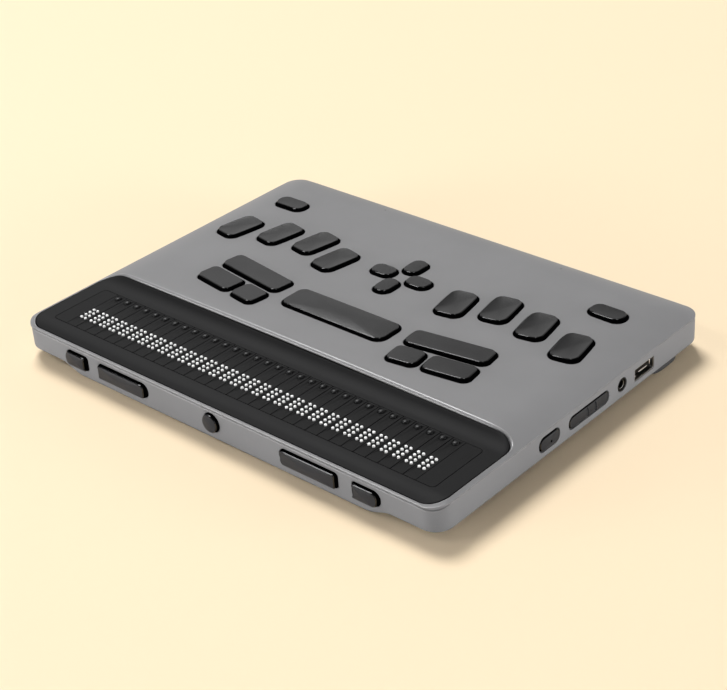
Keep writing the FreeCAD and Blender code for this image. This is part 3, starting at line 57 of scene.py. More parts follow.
# All lengths below are in millimetres and become metres when a mesh is made. What is added to FRONT
# is counted from the front edge.
MM = 0.001


def node_box(name):
    """A CAD node's lowest and highest corners in millimetres."""
    low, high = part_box(name)
    return np.array(low) / MM, np.array(high) / MM


DECK_LOW, DECK_HIGH = node_box("top_cover")
BEZEL_LOW, BEZEL_HIGH = node_box("display_bezel")
CAP_LOW, CAP_HIGH = node_box("cell_caps")
FRONT = float(DECK_LOW[1])
HALF_WIDTH = float(DECK_HIGH[0])
BACK = float(DECK_HIGH[1])

# The braille line: cells of two by four dots, each with a routing key, in the bezel's opening
CELLS = 32
CELL_GAP = 0.12
CELL_PITCH = float(CAP_HIGH[0] - CAP_LOW[0] + CELL_GAP) / CELLS
DOT_PITCH = 2.45
BACK_DOT_ROW = FRONT + 24.9
PIN_HOLE_RADIUS = 0.83
PIN_RADIUS = 0.63
ROUTING_ROW = FRONT + 38.2
ROUTING_HOLE_RADIUS = 1.7
ROUTING_KEY_RADIUS = 1.42
STRIP_START = FRONT + 10.1
STRIP_DEPTH = 30.85
STRIP_HALF_WIDTH = 111.25
STRIP_GAP = 0.15
STRIP_RADIUS = 2.0
TILE_RADIUS = 0.15

BEZEL_RADIUS = 8.5
MIC_HOLE_RADIUS = 0.55
MIC_HOLE_PLACE = (52.7, FRONT + 172.3)

# Gaps round the bezel, round a key and round a port's shell
BEZEL_GAP = 0.36
KEY_GAP = 0.22
PORT_GAP = 0.1

# The deck's and the casing's edge at the seam: height on the sides and how much lower it is in front
DECK_SEAM, DECK_SEAM_FALL = 16.3, 1.2
CASE_SEAM, CASE_SEAM_FALL = 16.22, 1.82
CASE_FRONT = FRONT + 0.4

# Front keys: kind, middle, width and the corner radii of the inner and the outer end
THUMB_HEIGHT = 8.8
THUMB_KEYS = (("long", 54.75, 31.5, 3.3, 1.5), ("short", 85.2, 14.4, 1.5, 3.3))

# On the right wall: middle along the wall, height, width, depth and corner radius
CONTROL_HEIGHT = 10.75
RIGHT_WALL = {
    "power": (FRONT + 69.4, CONTROL_HEIGHT, 13.5, 6.7, 3.0),
    "volume": (FRONT + 96.4, CONTROL_HEIGHT, 27.7, 6.0, 2.7),
    "usb": (FRONT + 136.4, 10.3, 14.3, 5.9, 0.7),
}
JACK_CENTRE = (FRONT + 120.0, 10.8)
JACK_HOLE_RADIUS = 3.25

# On the left wall
USB_C_PLACES = (FRONT + 116.0, FRONT + 133.0)
USB_C_HEIGHT = 10.0

# The underside with its belly, whose ramps start at its half width and its back
UNDERSIDE = 3.85
BELLY_DROP = 3.35
BELLY_HALF_WIDTH, SIDE_RAMP = 84.0, 13.6
BELLY_BACK, BACK_RAMP = FRONT + 55.4, 5.0
SCREW_HOLE_RADIUS = 2.0
SCREW_COLUMN = 106.0
SCREW_ROWS = (FRONT + 67.0, FRONT + 109.0, FRONT + 157.0)
SLOT_COLUMN = 113.0
SLOT_ROWS = tuple(FRONT + 30.0 + place * 3.6 for place in range(-2, 3))


class Outline:
    """A closed line in a plane, counterclockwise, with its outward normals."""

    def __init__(self, points, normals):
        self.points = points
        self.normals = normals

    def grown(self, amount):
        """The line moved outwards along its normals by an amount, or one amount a point."""
        shift = np.broadcast_to(np.asarray(amount, float), len(self.points))[:, None]
        return Outline(self.points + self.normals * shift, self.normals)

    def ring(self, height):
        """The line at a height above its plane, or at one height a point."""
        heights = np.broadcast_to(np.asarray(height, float), len(self.points))
        return np.column_stack([self.points, heights])


def rounded_outline(half_x, half_y, radii, centre=(0.0, 0.0), step=2.0, arc=10):
    """A rectangle with quarter-circle corners: straight runs joined by arcs about each corner's
    centre, point = centre + radius * (cos a, sin a). The radii start front left, going right."""
    radii = np.broadcast_to(np.asarray(radii, float), 4)
    signs = np.array([(-1, -1), (1, -1), (1, 1), (-1, 1)], float)
    centres = signs * (np.array([half_x, half_y]) - radii[:, None])
    points, normals = [], []
    for corner in range(4):
        after = (corner + 1) % 4
        facing = math.radians(-90 + 90 * corner)
        normal = np.array([math.cos(facing), math.sin(facing)])
        start = centres[corner] + radii[corner] * normal
        end = centres[after] + radii[after] * normal
        count = max(1, int(np.ceil(np.linalg.norm(end - start) / step)))
        share = np.arange(count)[:, None] / count
        points.append(start + (end - start) * share)
        normals.append(np.repeat(normal[None], count, 0))
        angles = facing + np.arange(arc) / arc * math.pi / 2
        round_normals = np.column_stack([np.cos(angles), np.sin(angles)])
        points.append(centres[after] + radii[after] * round_normals)
        normals.append(round_normals)
    return Outline(np.vstack(points) + np.asarray(centre, float), np.vstack(normals))


def circle_outline(radius, centre, count=24):
    """A circle: point = centre + radius * (cos a, sin a)."""
    angles = np.arange(count) / count * 2 * math.pi
    normals = np.column_stack([np.cos(angles), np.sin(angles)])
    return Outline(np.asarray(centre, float) + radius * normals, normals)


def quarter_round(line, out, fall, level, count):
    """Rings that turn from level to upright: for a from 0 to 90 degrees, the line goes outwards by
    out * sin a and down from its level by fall * (1 - cos a)."""
    return [line.grown(out * math.sin(angle)).ring(level - fall * (1 - math.cos(angle)))
            for angle in np.linspace(0, math.pi / 2, count)]


def mirrored(*runs):
    """Places on both sides of the middle, in order."""
    places = np.concatenate(runs)
    return np.unique(np.concatenate([-places, places]))


def grid(across, along):
    """Every place across with every place along, as points."""
    return np.stack(np.meshgrid(across, along), 2).reshape(-1, 2)


def encloses(outline, points):
    """Whether each point lies inside a closed line, by counting crossings of a ray along +X."""
    start = outline.points
    end = np.roll(start, -1, 0)
    inside = np.zeros(len(points), bool)
    x, y = points[:, 0], points[:, 1]
    for (ax, ay), (bx, by) in zip(start, end):
        if ay == by:
            continue
        crosses = (ay > y) != (by > y)
        inside ^= crosses & (x < (bx - ax) * (y - ay) / (by - ay) + ax)
    return inside


def clear_of(outlines, points, gap):
    """The points that are further than a gap from every outline's own points."""
    keep = np.ones(len(points), bool)
    for outline in outlines:
        low, high = outline.points.min(0) - gap, outline.points.max(0) + gap
        near = np.flatnonzero(keep & ((points > low) & (points < high)).all(1))
        apart = points[near][:, None] - outline.points[None]
        keep[near[(apart ** 2).sum(2).min(1) < gap ** 2]] = False
    return points[keep]


def triangulate(outer, holes, spread, gap):
    """A plane region with holes as triangles: a Delaunay mesh of the outlines and the spread
    points, less the triangles whose middles fall outside the region."""
    spread = spread[encloses(outer, spread)]
    for hole in holes:
        spread = spread[~encloses(hole, spread)]
    spread = clear_of([outer, *holes], spread, gap)
    loops = [outer, *holes]
    counts = [len(loop.points) for loop in loops]
    starts = np.cumsum([0, *counts[:-1]])
    edges = np.vstack([
        np.column_stack([start + np.arange(count), start + (np.arange(count) + 1) % count])
        for start, count in zip(starts, counts)
    ])
    points = np.vstack([*(loop.points for loop in loops), spread])
    made = delaunay_2d_cdt([Vector(point) for point in points.tolist()], edges.tolist(), [], 0, 1e-6)
    flat = np.array([tuple(point) for point in made[0]])
    faces = np.array(made[2])
    middles = flat[faces].mean(1)
    keep = encloses(outer, middles)
    for hole in holes:
        keep &= ~encloses(hole, middles)
    return flat, faces[keep]


class Skin:
    """Gathers patches of a surface, joins them where they meet and makes the Blender piece."""

    def __init__(self):
        self.points = []
        self.faces = []
        self.slots = []
        self.count = 0

    def add(self, points, faces, slot=0, flip=False):
        """Add a patch: its points, its faces' corners and its material slot."""
        faces = np.asarray(faces, int) + self.count
        self.points.append(np.asarray(points, float))
        self.faces.extend((faces[:, ::-1] if flip else faces).tolist())
        self.slots.extend([slot] * len(faces))
        self.count += len(points)

    def band(self, rings, slot=0):
        """A grid between rings of like points: quads that face outwards where the rings run
        counterclockwise and rise, or run inwards at a level."""
        rows, size = len(rings), len(rings[0])
        across = np.arange(size)
        after = (across + 1) % size
        lines = np.arange(rows - 1)[:, None] * size
        faces = np.stack([lines + across, lines + after, lines + size + after, lines + size + across], 2)
        self.add(np.vstack(rings), faces.reshape(-1, 4), slot)

    def fan(self, ring, middle, slot=0, flip=False):
        """Triangles from a ring to a point in its middle."""
        size = len(ring)
        across = np.arange(size)
        faces = np.column_stack([across, (across + 1) % size, np.full(size, size)])
        self.add(np.vstack([ring, [middle]]), faces, slot, flip)

    def plug(self, rings, ends, slot=0, turn=np.asarray, lid=None):
        """A closed body: a band through the rings, and at each end a fan to their middle at that
        end's height. The turn lays (across, up, out) onto a wall; a lid is the head's own slot."""
        middle = rings[0][:, :2].mean(0)
        self.band([turn(ring) for ring in rings], slot)
        self.fan(turn(rings[-1]), turn([[*middle, ends[1]]])[0], slot if lid is None else lid)
        self.fan(turn(rings[0]), turn([[*middle, ends[0]]])[0], slot, flip=True)

    def plate(self, outer, holes, height, thickness, spread=np.zeros((0, 2)), gap=0.6):
        """A plate's top at z = height(points) and its underside, which is lower by the thickness."""
        flat, faces = triangulate(outer, holes, spread, gap)
        top = np.column_stack([flat, height(flat)])
        self.add(top, faces)
        self.add(top - (0, 0, thickness), faces, flip=True)

    def repeat(self, places):
        """Put a copy of all that was added so far at each place across."""
        points = np.vstack(self.points)
        size, copies = len(points), len(places)
        self.points = [points + (place, 0.0, 0.0) for place in places]
        self.faces = [[corner + size * copy for corner in face] for copy in range(copies)
                      for face in self.faces]
        self.slots = self.slots * copies
        self.count = size * copies

    def make(self, name, body, materials, replaces, slot, weld=2e-7, crease=None):
        """Make the piece, weld its patches, ride it on its body and hide the nodes it replaces.
        With a crease, edges stay sharp between two finishes and from that many degrees on."""
        mesh = bpy.data.meshes.new(name)
        mesh.from_pydata((np.vstack(self.points) * MM).tolist(), [], self.faces)
        mesh.polygons.foreach_set("material_index", np.array(self.slots, np.int32))
        shape = bmesh.new()
        shape.from_mesh(mesh)
        bmesh.ops.remove_doubles(shape, verts=shape.verts, dist=weld)
        bmesh.ops.dissolve_degenerate(shape, edges=shape.edges, dist=1e-8)
        for face in shape.faces:
            face.smooth = True
        for edge in shape.edges if crease else ():
            finishes = {face.material_index for face in edge.link_faces}
            edge.smooth = len(finishes) == 1 and edge.calc_face_angle(0.0) < math.radians(crease)
        shape.to_mesh(mesh)
        shape.free()
        piece = bpy.data.objects.new(name, mesh)
        bpy.context.scene.collection.objects.link(piece)
        for material in materials:
            mesh.materials.append(material)
        normals = piece.modifiers.new("Even shading", "WEIGHTED_NORMAL")
        normals.mode = "FACE_AREA"
        normals.weight = 80
        normals.keep_sharp = True
        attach(piece, body)
        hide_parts(*replaces)


def smooth(share):
    """0 to 1 with level ends: 3 t^2 - 2 t^3."""
    share = np.clip(share, 0, 1)
    return share * share * (3 - 2 * share)


def arc_drop(reach, span, fall):
    """How far a circle that leaves level has fallen after a reach, where it falls by a given
    amount over the whole span: R - sqrt(R^2 - reach^2), R = (span^2 + fall^2) / (2 fall)."""
    radius = (span ** 2 + fall ** 2) / (2 * fall)
    reach = np.clip(reach, 0, span)
    return radius - np.sqrt(radius ** 2 - reach ** 2)


class NotetakerSizes(bpy.types.PropertyGroup):
    """Sizes and colours of the notetaker's finished surfaces, in millimetres."""

    deck_crown: FloatProperty(
        name="Deck crown", description="Rise of the deck from its side rolls to its middle",
        default=0.7)
    side_roll: FloatProperty(
        name="Side roll", description="Width of the deck's rolled sides", default=19.0)
    back_roll: FloatProperty(
        name="Back roll", description="Depth of the deck's rolled back", default=17.0)
    crease_height: FloatProperty(
        name="Crease height", description="Height of the crease under the rolls", default=16.9)
    front_rim_height: FloatProperty(
        name="Front rim height", description="Height of the rim in front of the display",
        default=15.7)
    corner_radius: FloatProperty(
        name="Corner radius", description="Corner radius of the casing in plan", default=8.5)
    rim_radius: FloatProperty(
        name="Front rim radius", description="Roundness of the front rim", default=0.35)
    lip_radius: FloatProperty(
        name="Lip radius", description="Roundness of the deck's lip behind the display", default=1.3)
    dish: FloatProperty(
        name="Braille key dish", description="How deep the braille keys are dished", default=0.45)
    crown: FloatProperty(
        name="Space bar crown", description="How high the space bar is crowned", default=0.35)
    key_draft: FloatProperty(
        name="Key draft", description="How far a key's side leans in on the way up", default=1.0)
    key_edge: FloatProperty(
        name="Key edge", description="Bevel between a key's side and its top", default=0.32)
    dot_faces: IntProperty(
        name="Pin sides", description="Sides of a braille pin's dome", default=12, min=8, max=24)
    casing_colour: FloatVectorProperty(
        name="Casing colour", description="Satin grey of the deck and casing", subtype="COLOR",
        size=3, default=(0.212, 0.2105, 0.2135))
    key_colour: FloatVectorProperty(
        name="Key colour", description="Dark plastic of the key tops", subtype="COLOR",
        size=3, default=(0.0120, 0.0118, 0.0120))
    bezel_colour: FloatVectorProperty(
        name="Bezel colour", description="Black of the display bezel", subtype="COLOR",
        size=3, default=(0.0095, 0.0094, 0.0097))
    cell_colour: FloatVectorProperty(
        name="Cell colour", description="Black of the braille cell caps", subtype="COLOR",
        size=3, default=(0.0115, 0.0114, 0.0116))
    pin_colour: FloatVectorProperty(
        name="Pin colour", description="White of the braille pins", subtype="COLOR",
        size=3, default=(0.92, 0.92, 0.91))


class NotetakerStage(bpy.types.PropertyGroup):
    """The floor, the light and the camera."""

    floor_colour: FloatVectorProperty(
        name="Floor colour", description="Pale colour of the floor", subtype="COLOR",
        size=3, default=(0.960, 0.785, 0.556))
    horizon_strength: FloatProperty(
        name="Horizon strength", description="Strength of the even light low down", default=0.58)
    sky_strength: FloatProperty(
        name="Sky strength", description="Strength of the even light overhead", default=0.03)
    key_power: FloatProperty(
        name="Main light", description="Power of the large light behind the left side in watts",
        default=335.0)
    front_power: FloatProperty(
        name="Front light", description="Power of the low light in front on the left in watts",
        default=14.0)
    side_power: FloatProperty(
        name="Side light", description="Power of the low light behind the right side in watts",
        default=14.0)
    back_power: FloatProperty(
        name="Back light", description="Power of the wide, faint light behind in watts",
        default=9.0)
    strip_power: FloatProperty(
        name="Strip light", description="Power of the narrow light that lines the edges in watts",
        default=2.4)
    top_power: FloatProperty(
        name="Top light", description="Power of the small light over the camera in watts",
        default=0.45)
    focal_length: FloatProperty(
        name="Focal length", description="Camera lens in millimetres on a 36 mm sensor",
        default=84.97)


def sizes():
    """The sizes and colours that the sidebar shows."""
    return bpy.context.scene.notetaker_sizes


def seam_share(y):
    """0 on the sides and the back, 1 in front, with a smooth change over 7.8 mm of the front corners,
    which starts 8.8 mm behind the front edge."""
    return smooth((FRONT + 8.8 - y) / 7.8)


def deck_height(points):
    """The deck's surface: crowned by crown * (1 - (x / flat)^2), less a circular fall towards the
    sides and the back, joined by a fourth-power mean in the corners, and a straight fall of 5.5 in
    21 over the front rim, joined by an eighth-power mean."""
    s = sizes()
    x, y = np.abs(points[:, 0]), points[:, 1]
    flat = HALF_WIDTH - s.side_roll
    top = DECK_HIGH[2] - s.deck_crown * np.clip(x / flat, 0, 1) ** 2
    u = np.clip((x - flat) / s.side_roll, 0, 1)
    v = np.clip((y - (BACK - s.back_roll)) / s.back_roll, 0, 1)
    reach = (u ** 4 + v ** 4) ** 0.25
    side = arc_drop(reach * s.side_roll, s.side_roll, top - s.crease_height)
    back = arc_drop(reach * s.back_roll, s.back_roll, top - s.crease_height)
    share = u ** 4 / (u ** 4 + v ** 4 + 1e-9)
    roll = share * side + (1 - share) * back
    slope = np.clip(top - s.front_rim_height - (y - FRONT) * 5.5 / 21.0, 0, None)
    return top - (roll ** 8 + slope ** 8) ** 0.125


KEY_HEIGHT = 4.2
DOT_SLANT = 10.5
COMMAND_SLANT = 8.2
# Width, depth, corner radius and how far the corners are drawn in by the bowed sides
KEY_KINDS = {
    "dot_key": (15.0, 22.7, 4.6, 0.35), "function_key": (18.8, 10.6, 4.8, 0.0),
    "space_key": (61.0, 17.5, 5.2, 0.1), "long_key": (42.0, 13.4, 4.0, 0.1),
    "medium_key": (24.2, 13.4, 3.9, 0.1), "small_key": (16.4, 13.4, 3.8, 0.1),
    "arrow_key": (10.2, 14.0, 4.6, 0.2),
}


def deck_keys():
    """Every key of the deck: its node's name, its kind and its slant, counterclockwise in degrees."""
    keys = [("space_key", "space_key", 0.0)]
    for side, lean, dots in (("left", -1, (1, 2, 3, 7)), ("right", 1, (4, 5, 6, 8))):
        keys += [(f"dot_{dot}_key", "dot_key", DOT_SLANT * lean) for dot in dots]
        keys.append((f"{side}_function_key", "function_key", 0.0))
        for place, kind in (("upper", "long_key"), ("outer", "medium_key"), ("inner", "small_key")):
            keys.append((f"{side}_{place}_command_key", kind, COMMAND_SLANT * lean))
    turns = {"up": 0.0, "down": 180.0, "left": 90.0, "right": -90.0}
    keys += [(f"arrow_{way}_key", "arrow_key", turn) for way, turn in turns.items()]
    return keys


def key_outline(name, kind, slant, growth=0.0, step=3.0, arc=10):
    """A key's outline in its place. Its sides bow: each point is drawn in along its normal by
    bow * (the smaller of (x / half width)^2 and (y / half depth)^2)."""
    low, high = node_box(name)
    width, depth, radius, bow = KEY_KINDS[kind]
    plain = rounded_outline(width / 2, depth / 2, radius, step=step, arc=arc)
    share = ((plain.points / (width / 2, depth / 2)) ** 2).min(1)
    bowed = plain.grown(growth - bow * share)
    turn = math.radians(slant)
    spin = np.array([[math.cos(turn), math.sin(turn)], [-math.sin(turn), math.cos(turn)]])
    return Outline(bowed.points @ spin + ((low + high) / 2)[:2], bowed.normals @ spin)


class Value:
    """A shader socket with arithmetic, so that shader maths reads as an expression."""

    def __init__(self, nodes, socket):
        self.nodes = nodes
        self.socket = socket

    def output(self, name):
        """Another output of the same node."""
        return Value(self.nodes, self.socket.node.outputs[name])

    def combine(self, operation, *others):
        """This socket first, then the others, in one operation."""
        return self.nodes.math(operation, self, *others)

    def __add__(self, other):
        return self.combine("ADD", other)

    def __radd__(self, other):
        return self.nodes.math("ADD", other, self)

    def __sub__(self, other):
        return self.combine("SUBTRACT", other)

    def __rsub__(self, other):
        return self.nodes.math("SUBTRACT", other, self)

    def __mul__(self, other):
        return self.combine("MULTIPLY", other)

    def __rmul__(self, other):
        return self.nodes.math("MULTIPLY", other, self)

    def __truediv__(self, other):
        return self.combine("DIVIDE", other)

    def __rtruediv__(self, other):
        return self.nodes.math("DIVIDE", other, self)

    def __abs__(self):
        return self.combine("ABSOLUTE")


class Nodes:
    """The node tree of a material or of the world, filled by one general node method."""

    def __init__(self, owner):
        owner.use_nodes = True
        self.tree = owner.node_tree
        self.tree.nodes.clear()

    def end(self, kind, shader):
        """Add the tree's own output behind a shader."""
        output = self.tree.nodes.new(f"ShaderNodeOutput{kind}")
        self.feed(output.inputs["Surface"], shader)

    def node(self, kind, settings=(), output=0, **inputs):
        """Add a node of a kind, set it up, then fill its sockets by name or by number."""
        made = self.tree.nodes.new(f"ShaderNode{kind}")
        for name, value in dict(settings).items():
            setattr(made, name, value)
        for name, value in inputs.items():
            key = int(name[1:]) if name[0] == "i" and name[1:].isdigit() else name.replace("_", " ")
            self.feed(made.inputs[key], value)
        return Value(self, made.outputs[output])

    def feed(self, socket, value):
        """Link a value to a socket, or set the socket itself."""
        if isinstance(value, Value):
            self.tree.links.new(value.socket, socket)
        else:
            socket.default_value = value

    def math(self, operation, *values):
        """One operation on numbers or on the sockets that carry them."""
        places = {f"i{index}": value for index, value in enumerate(values)}
        return self.node("Math", {"operation": operation}, **places)

    def mix(self, factor, first, second):
        """Mix two colours, given as sockets or as three numbers."""
        def colour(value):
            return value if isinstance(value, Value) else (*value[:3], 1.0)
        return self.node("Mix", {"data_type": "RGBA"}, 2, i0=factor, i6=colour(first), i7=colour(second))

    def level(self, value, low, high, least=0.0, most=1.0, kind="LINEAR"):
        """Map a value between two numbers to another range, held at its ends."""
        return self.node("MapRange", {"clamp": True, "interpolation_type": kind}, i0=value,
                         i1=low, i2=high, i3=least, i4=most)


class Paint(Nodes):
    """A material, all of whose looks come from one Principled shader."""

    def __init__(self, name, **constants):
        self.material = bpy.data.materials.new(name)
        super().__init__(self.material)
        shader = self.node("BsdfPrincipled", **constants)
        self.shader = shader.socket.node
        self.end("Material", shader)

    def place(self):
        """The point in the object's own coordinates, in metres."""
        return self.node("TexCoord", output="Object")

    def noise(self, scale, detail=3.0, roughness=0.5, stretch=None):
        """A soft random pattern with a number of features a metre."""
        place = self.place()
        if stretch:
            place = self.node("Mapping", Vector=place, Scale=stretch)
        return self.node("TexNoise", Vector=place, Scale=scale, Detail=detail, Roughness=roughness)

    def set(self, **links):
        """Feed the shader's sockets by name, with underscores for spaces."""
        for socket, value in links.items():
            self.feed(self.shader.inputs[socket.replace("_", " ")], value)

    def bump(self, height, distance, strength=1.0):
        """Lift the surface by a height of 0 to 1 times the distance, in metres."""
        self.set(Normal=self.node("Bump", Height=height, Distance=distance, Strength=strength))


def tint(colour, factor):
    """A colour made lighter or darker."""
    return tuple(min(1.0, channel * factor) for channel in colour)


def get_material(name, make, *settings):
    """A finished material by name, made when it is first asked for."""
    return bpy.data.materials.get(name) or make(name, *settings).material


def casing_paint(name):
    """Satin paint: slow cloudy tone, fine speckle, a faint grain in the surface."""
    paint = Paint(name, Specular_IOR_Level=0.12)
    base = tuple(sizes().casing_colour)
    cloud = paint.noise(28.0, 3.0, 0.55)
    speck = paint.noise(5200.0, 2.0, 0.6)
    tone = paint.mix(paint.level(cloud, 0.3, 0.7), tint(base, 0.955), tint(base, 1.045))
    fine = paint.level(speck, 0.32, 0.68)
    tone = paint.mix(fine * 0.22, tone, tint(base, 1.22))
    paint.set(Base_Color=tone, Roughness=0.48 + cloud * 0.1 + fine * 0.04)
    paint.bump(speck, 0.000012, 0.5)
    return paint


def highlight_edge_paint(name):
    """The casing's paint on its edges, glossier and painted up to a tenth lighter as a painted highlight:
    round the display, along the deck's rim and on the casing's top edge."""
    paint = Paint(name, Specular_IOR_Level=0.5)
    base = tuple(sizes().casing_colour)
    cloud = paint.noise(60.0, 3.0, 0.55)
    # Painted highlight: the edge's tone is up to a tenth lighter than the casing's.
    paint.set(Base_Color=paint.mix(cloud, tint(base, 1.0), tint(base, 1.1)), Roughness=0.24 + cloud * 0.1)
    paint.bump(cloud, 0.00002, 0.4)
    return paint


def casing_materials():
    """The casing's paint and, for slot 1, its glossier edge, painted a little lighter as a painted
    highlight.
    """
    return [get_material("casing paint", casing_paint), get_material("casing edge", highlight_edge_paint)]


def moulded(name, colour, rough, grain=0.000010, gloss=0.3):
    """Moulded plastic with a fine grain and a little dust in the tone."""
    paint = Paint(name, Specular_IOR_Level=gloss)
    cloud = paint.noise(45.0, 3.0, 0.55)
    speck = paint.noise(4200.0, 2.0, 0.6)
    tone = paint.mix(paint.level(cloud, 0.3, 0.7), tint(colour, 0.9), tint(colour, 1.1))
    tone = paint.mix(paint.level(speck, 0.60, 0.80) * 0.25, tone, tint(colour, 1.9))
    paint.set(Base_Color=tone, Roughness=rough + cloud * 0.08)
    paint.bump(speck, grain, 0.6)
    return paint


def bezel_material(name):
    """Matte black of the display bezel."""
    return moulded(name, tuple(sizes().bezel_colour), 0.46, gloss=0.05)


def key_top_material(name):
    """Key tops: near black, with a fine grain and a soft gloss."""
    return moulded(name, tuple(sizes().key_colour), 0.22, 0.000006, 0.33)


def side_key_material(name):
    """The faces of the keys on the walls: the same plastic, a little duller."""
    return moulded(name, (0.029, 0.0305, 0.035), 0.26, 0.000006, 0.13)


def fine_noise(name, gloss, scale, dark, light, rough, depth, stretch=None):
    """Plastic between two tones by one fine noise, which also adds to the roughness and lifts the
    surface. Rough is its least and what the noise adds, depth is a bump's distance and strength."""
    paint = Paint(name, Specular_IOR_Level=gloss)
    speck = paint.noise(scale, 2.0, 0.5, stretch)
    paint.set(Base_Color=paint.mix(speck, dark, light), Roughness=rough[0] + speck * rough[1])
    paint.bump(speck, *depth)
    return paint


def key_flank_shade_material(name):
    """A key's flanks: painted near black, far darker than its top, and without gloss, as painted shade on
    the sides; with faint moulding streaks.
    """
    return fine_noise(name, 0.0, 900.0, (0.0006, 0.0006, 0.0007), (0.0014, 0.0014, 0.0015),
                      (0.30, 0.1), (0.000004, 0.3), (1.0, 1.0, 0.2))


def key_edge_shade_material(name):
    """The glossy edge between a key's top and its flank, painted darker than the top as painted shade."""
    # Painted shade: a base colour well under the key top's.
    return fine_noise(name, 0.5, 1500.0, (0.003, 0.003, 0.003), (0.006, 0.006, 0.006),
                      (0.11, 0.06), (0.000004, 0.3))


def cell_material(name):
    """Cell caps: black with a fine grain and, between each two routing keys, a pair of shallow grooves
    beside the cells' seam, which spread apart towards the front and are painted darker as painted
    shade in them. The grooves repeat with the cells: the distance from a seam is
    |x / pitch - round(x / pitch)| * pitch, and half the gap between the grooves grows with the
    travel from the routing keys."""
    colour = tuple(sizes().cell_colour)
    paint = Paint(name, Specular_IOR_Level=0.04)
    speck = paint.noise(4200.0, 2.0, 0.6)
    cloud = paint.noise(60.0, 3.0, 0.5)
    along_x = paint.node("SeparateXYZ", Vector=paint.place())
    pitch = CELL_PITCH * MM
    turn = along_x / pitch + 0.5
    off_seam = abs(turn - paint.math("FLOOR", turn) - 0.5) * pitch
    travel = (ROUTING_ROW - 1.8) * MM - along_x.output("Y")
    half_gap = 0.00045 + travel * 0.10
    line = 1.0 - paint.level(abs(off_seam - half_gap), 0.00004, 0.00020)
    reach = paint.level(travel, 0.0, 0.0004) * (1.0 - paint.level(travel, 0.0055, 0.0075))
    groove_and_shade = line * reach
    tone = paint.mix(paint.level(cloud, 0.3, 0.7), tint(colour, 0.92), tint(colour, 1.08))
    tone = paint.mix(paint.level(speck, 0.62, 0.80) * 0.25, tone, tint(colour, 1.8))
    # Painted shade: the grooves are painted darker as well as lowered by the bump.
    tone = paint.mix(groove_and_shade * 0.6, tone, tint(colour, 0.3))
    paint.set(Base_Color=tone, Roughness=0.48 + cloud * 0.08)
    paint.bump(speck * 0.000008 - groove_and_shade * 0.00002, 1.0, 0.8)
    return paint


def pin_material(name):
    """White pins of a plastic that lets a little light through."""
    colour = tuple(sizes().pin_colour)
    paint = Paint(name, Specular_IOR_Level=0.4, Subsurface_Weight=1.0, Subsurface_Scale=0.0008,
                  Subsurface_Radius=(1.0, 1.0, 1.0))
    speck = paint.noise(2500.0, 2.0, 0.5)
    tone = paint.mix(paint.level(speck, 0.3, 0.7), tint(colour, 0.97), colour)
    paint.set(Base_Color=tone, Roughness=0.34 + speck * 0.1)
    paint.bump(speck, 0.000005, 0.4)
    return paint


def routing_material(name):
    """Satin black of the routing keys."""
    return fine_noise(name, 0.18, 3000.0, (0.006, 0.006, 0.0065), (0.012, 0.012, 0.0125),
                      (0.34, 0.1), (0.000005, 0.4))


def metal_material(name, colour, rough):
    """Bare metal with a fine grain."""
    paint = Paint(name, Metallic=1.0)
    grain = paint.noise(1800.0, 3.0, 0.6)
    paint.set(Base_Color=paint.mix(grain, tint(colour, 0.82), colour), Roughness=rough + grain * 0.15)
    paint.bump(grain, 0.000006, 0.4)
    return paint


def shield_material(name):
    """Bright sheet steel of the shield, the screws and the microphones."""
    return metal_material(name, (0.62, 0.61, 0.60), 0.22)


def board_material(name):
    """Circuit board: solder mask over fine tracks, drawn by a wave and a cell pattern."""
    paint = Paint(name, Specular_IOR_Level=0.5)
    place = paint.place()
    tracks = paint.node("TexWave", {"wave_type": "BANDS", "bands_direction": "DIAGONAL"},
                        Vector=place, Scale=260.0, Distortion=6.0, Detail=2.0)
    pads = paint.node("TexVoronoi", {"feature": "F1"}, Vector=place, Scale=420.0)
    track = paint.level(tracks, 0.45, 0.55)
    tone = paint.mix(track, (0.006, 0.085, 0.030), (0.012, 0.150, 0.055))
    tone = paint.mix(1.0 - paint.level(pads, 0.10, 0.16), tone, (0.62, 0.50, 0.25))
    paint.set(Base_Color=tone, Roughness=0.32 + track * 0.1)
    paint.bump(track, 0.00002, 0.4)
    return paint


def rubber_material(name):
    """Black rubber of the feet, the key domes and the speakers' fronts."""
    return moulded(name, (0.055, 0.055, 0.057), 0.62, 0.00003, 0.3)


def amber_flex_material(name):
    """Amber film of the flat cables, with copper tracks that show through it."""
    paint = Paint(name, Specular_IOR_Level=0.5)
    tracks = paint.node("TexWave", {"wave_type": "BANDS", "bands_direction": "X"},
                        Vector=paint.place(), Scale=180.0)
    paint.set(Base_Color=paint.mix(tracks, (0.45, 0.20, 0.04), (0.62, 0.33, 0.08)),
              Roughness=0.3 + tracks * 0.1)
    return paint


def module_material(name):
    """Pale grey plastic of the cell modules."""
    return moulded(name, (0.30, 0.29, 0.27), 0.5, 0.00001, 0.3)


def wrap_material(name):
    """Dark blue film round the battery."""
    return moulded(name, (0.05, 0.06, 0.09), 0.35, 0.00001, 0.4)


def plan_outline(front):
    """The casing's outline in plan, from a front edge to the back."""
    return rounded_outline(HALF_WIDTH, (BACK - front) / 2, sizes().corner_radius,
                           (0.0, (BACK + front) / 2), arc=20)


def bezel_outline(growth=0.0):
    """The display bezel's outline in plan."""
    plain = rounded_outline(BEZEL_HIGH[0], (BEZEL_HIGH[1] - BEZEL_LOW[1]) / 2, BEZEL_RADIUS,
                            (0.0, (BEZEL_HIGH[1] + BEZEL_LOW[1]) / 2), arc=20)
    return plain.grown(growth)


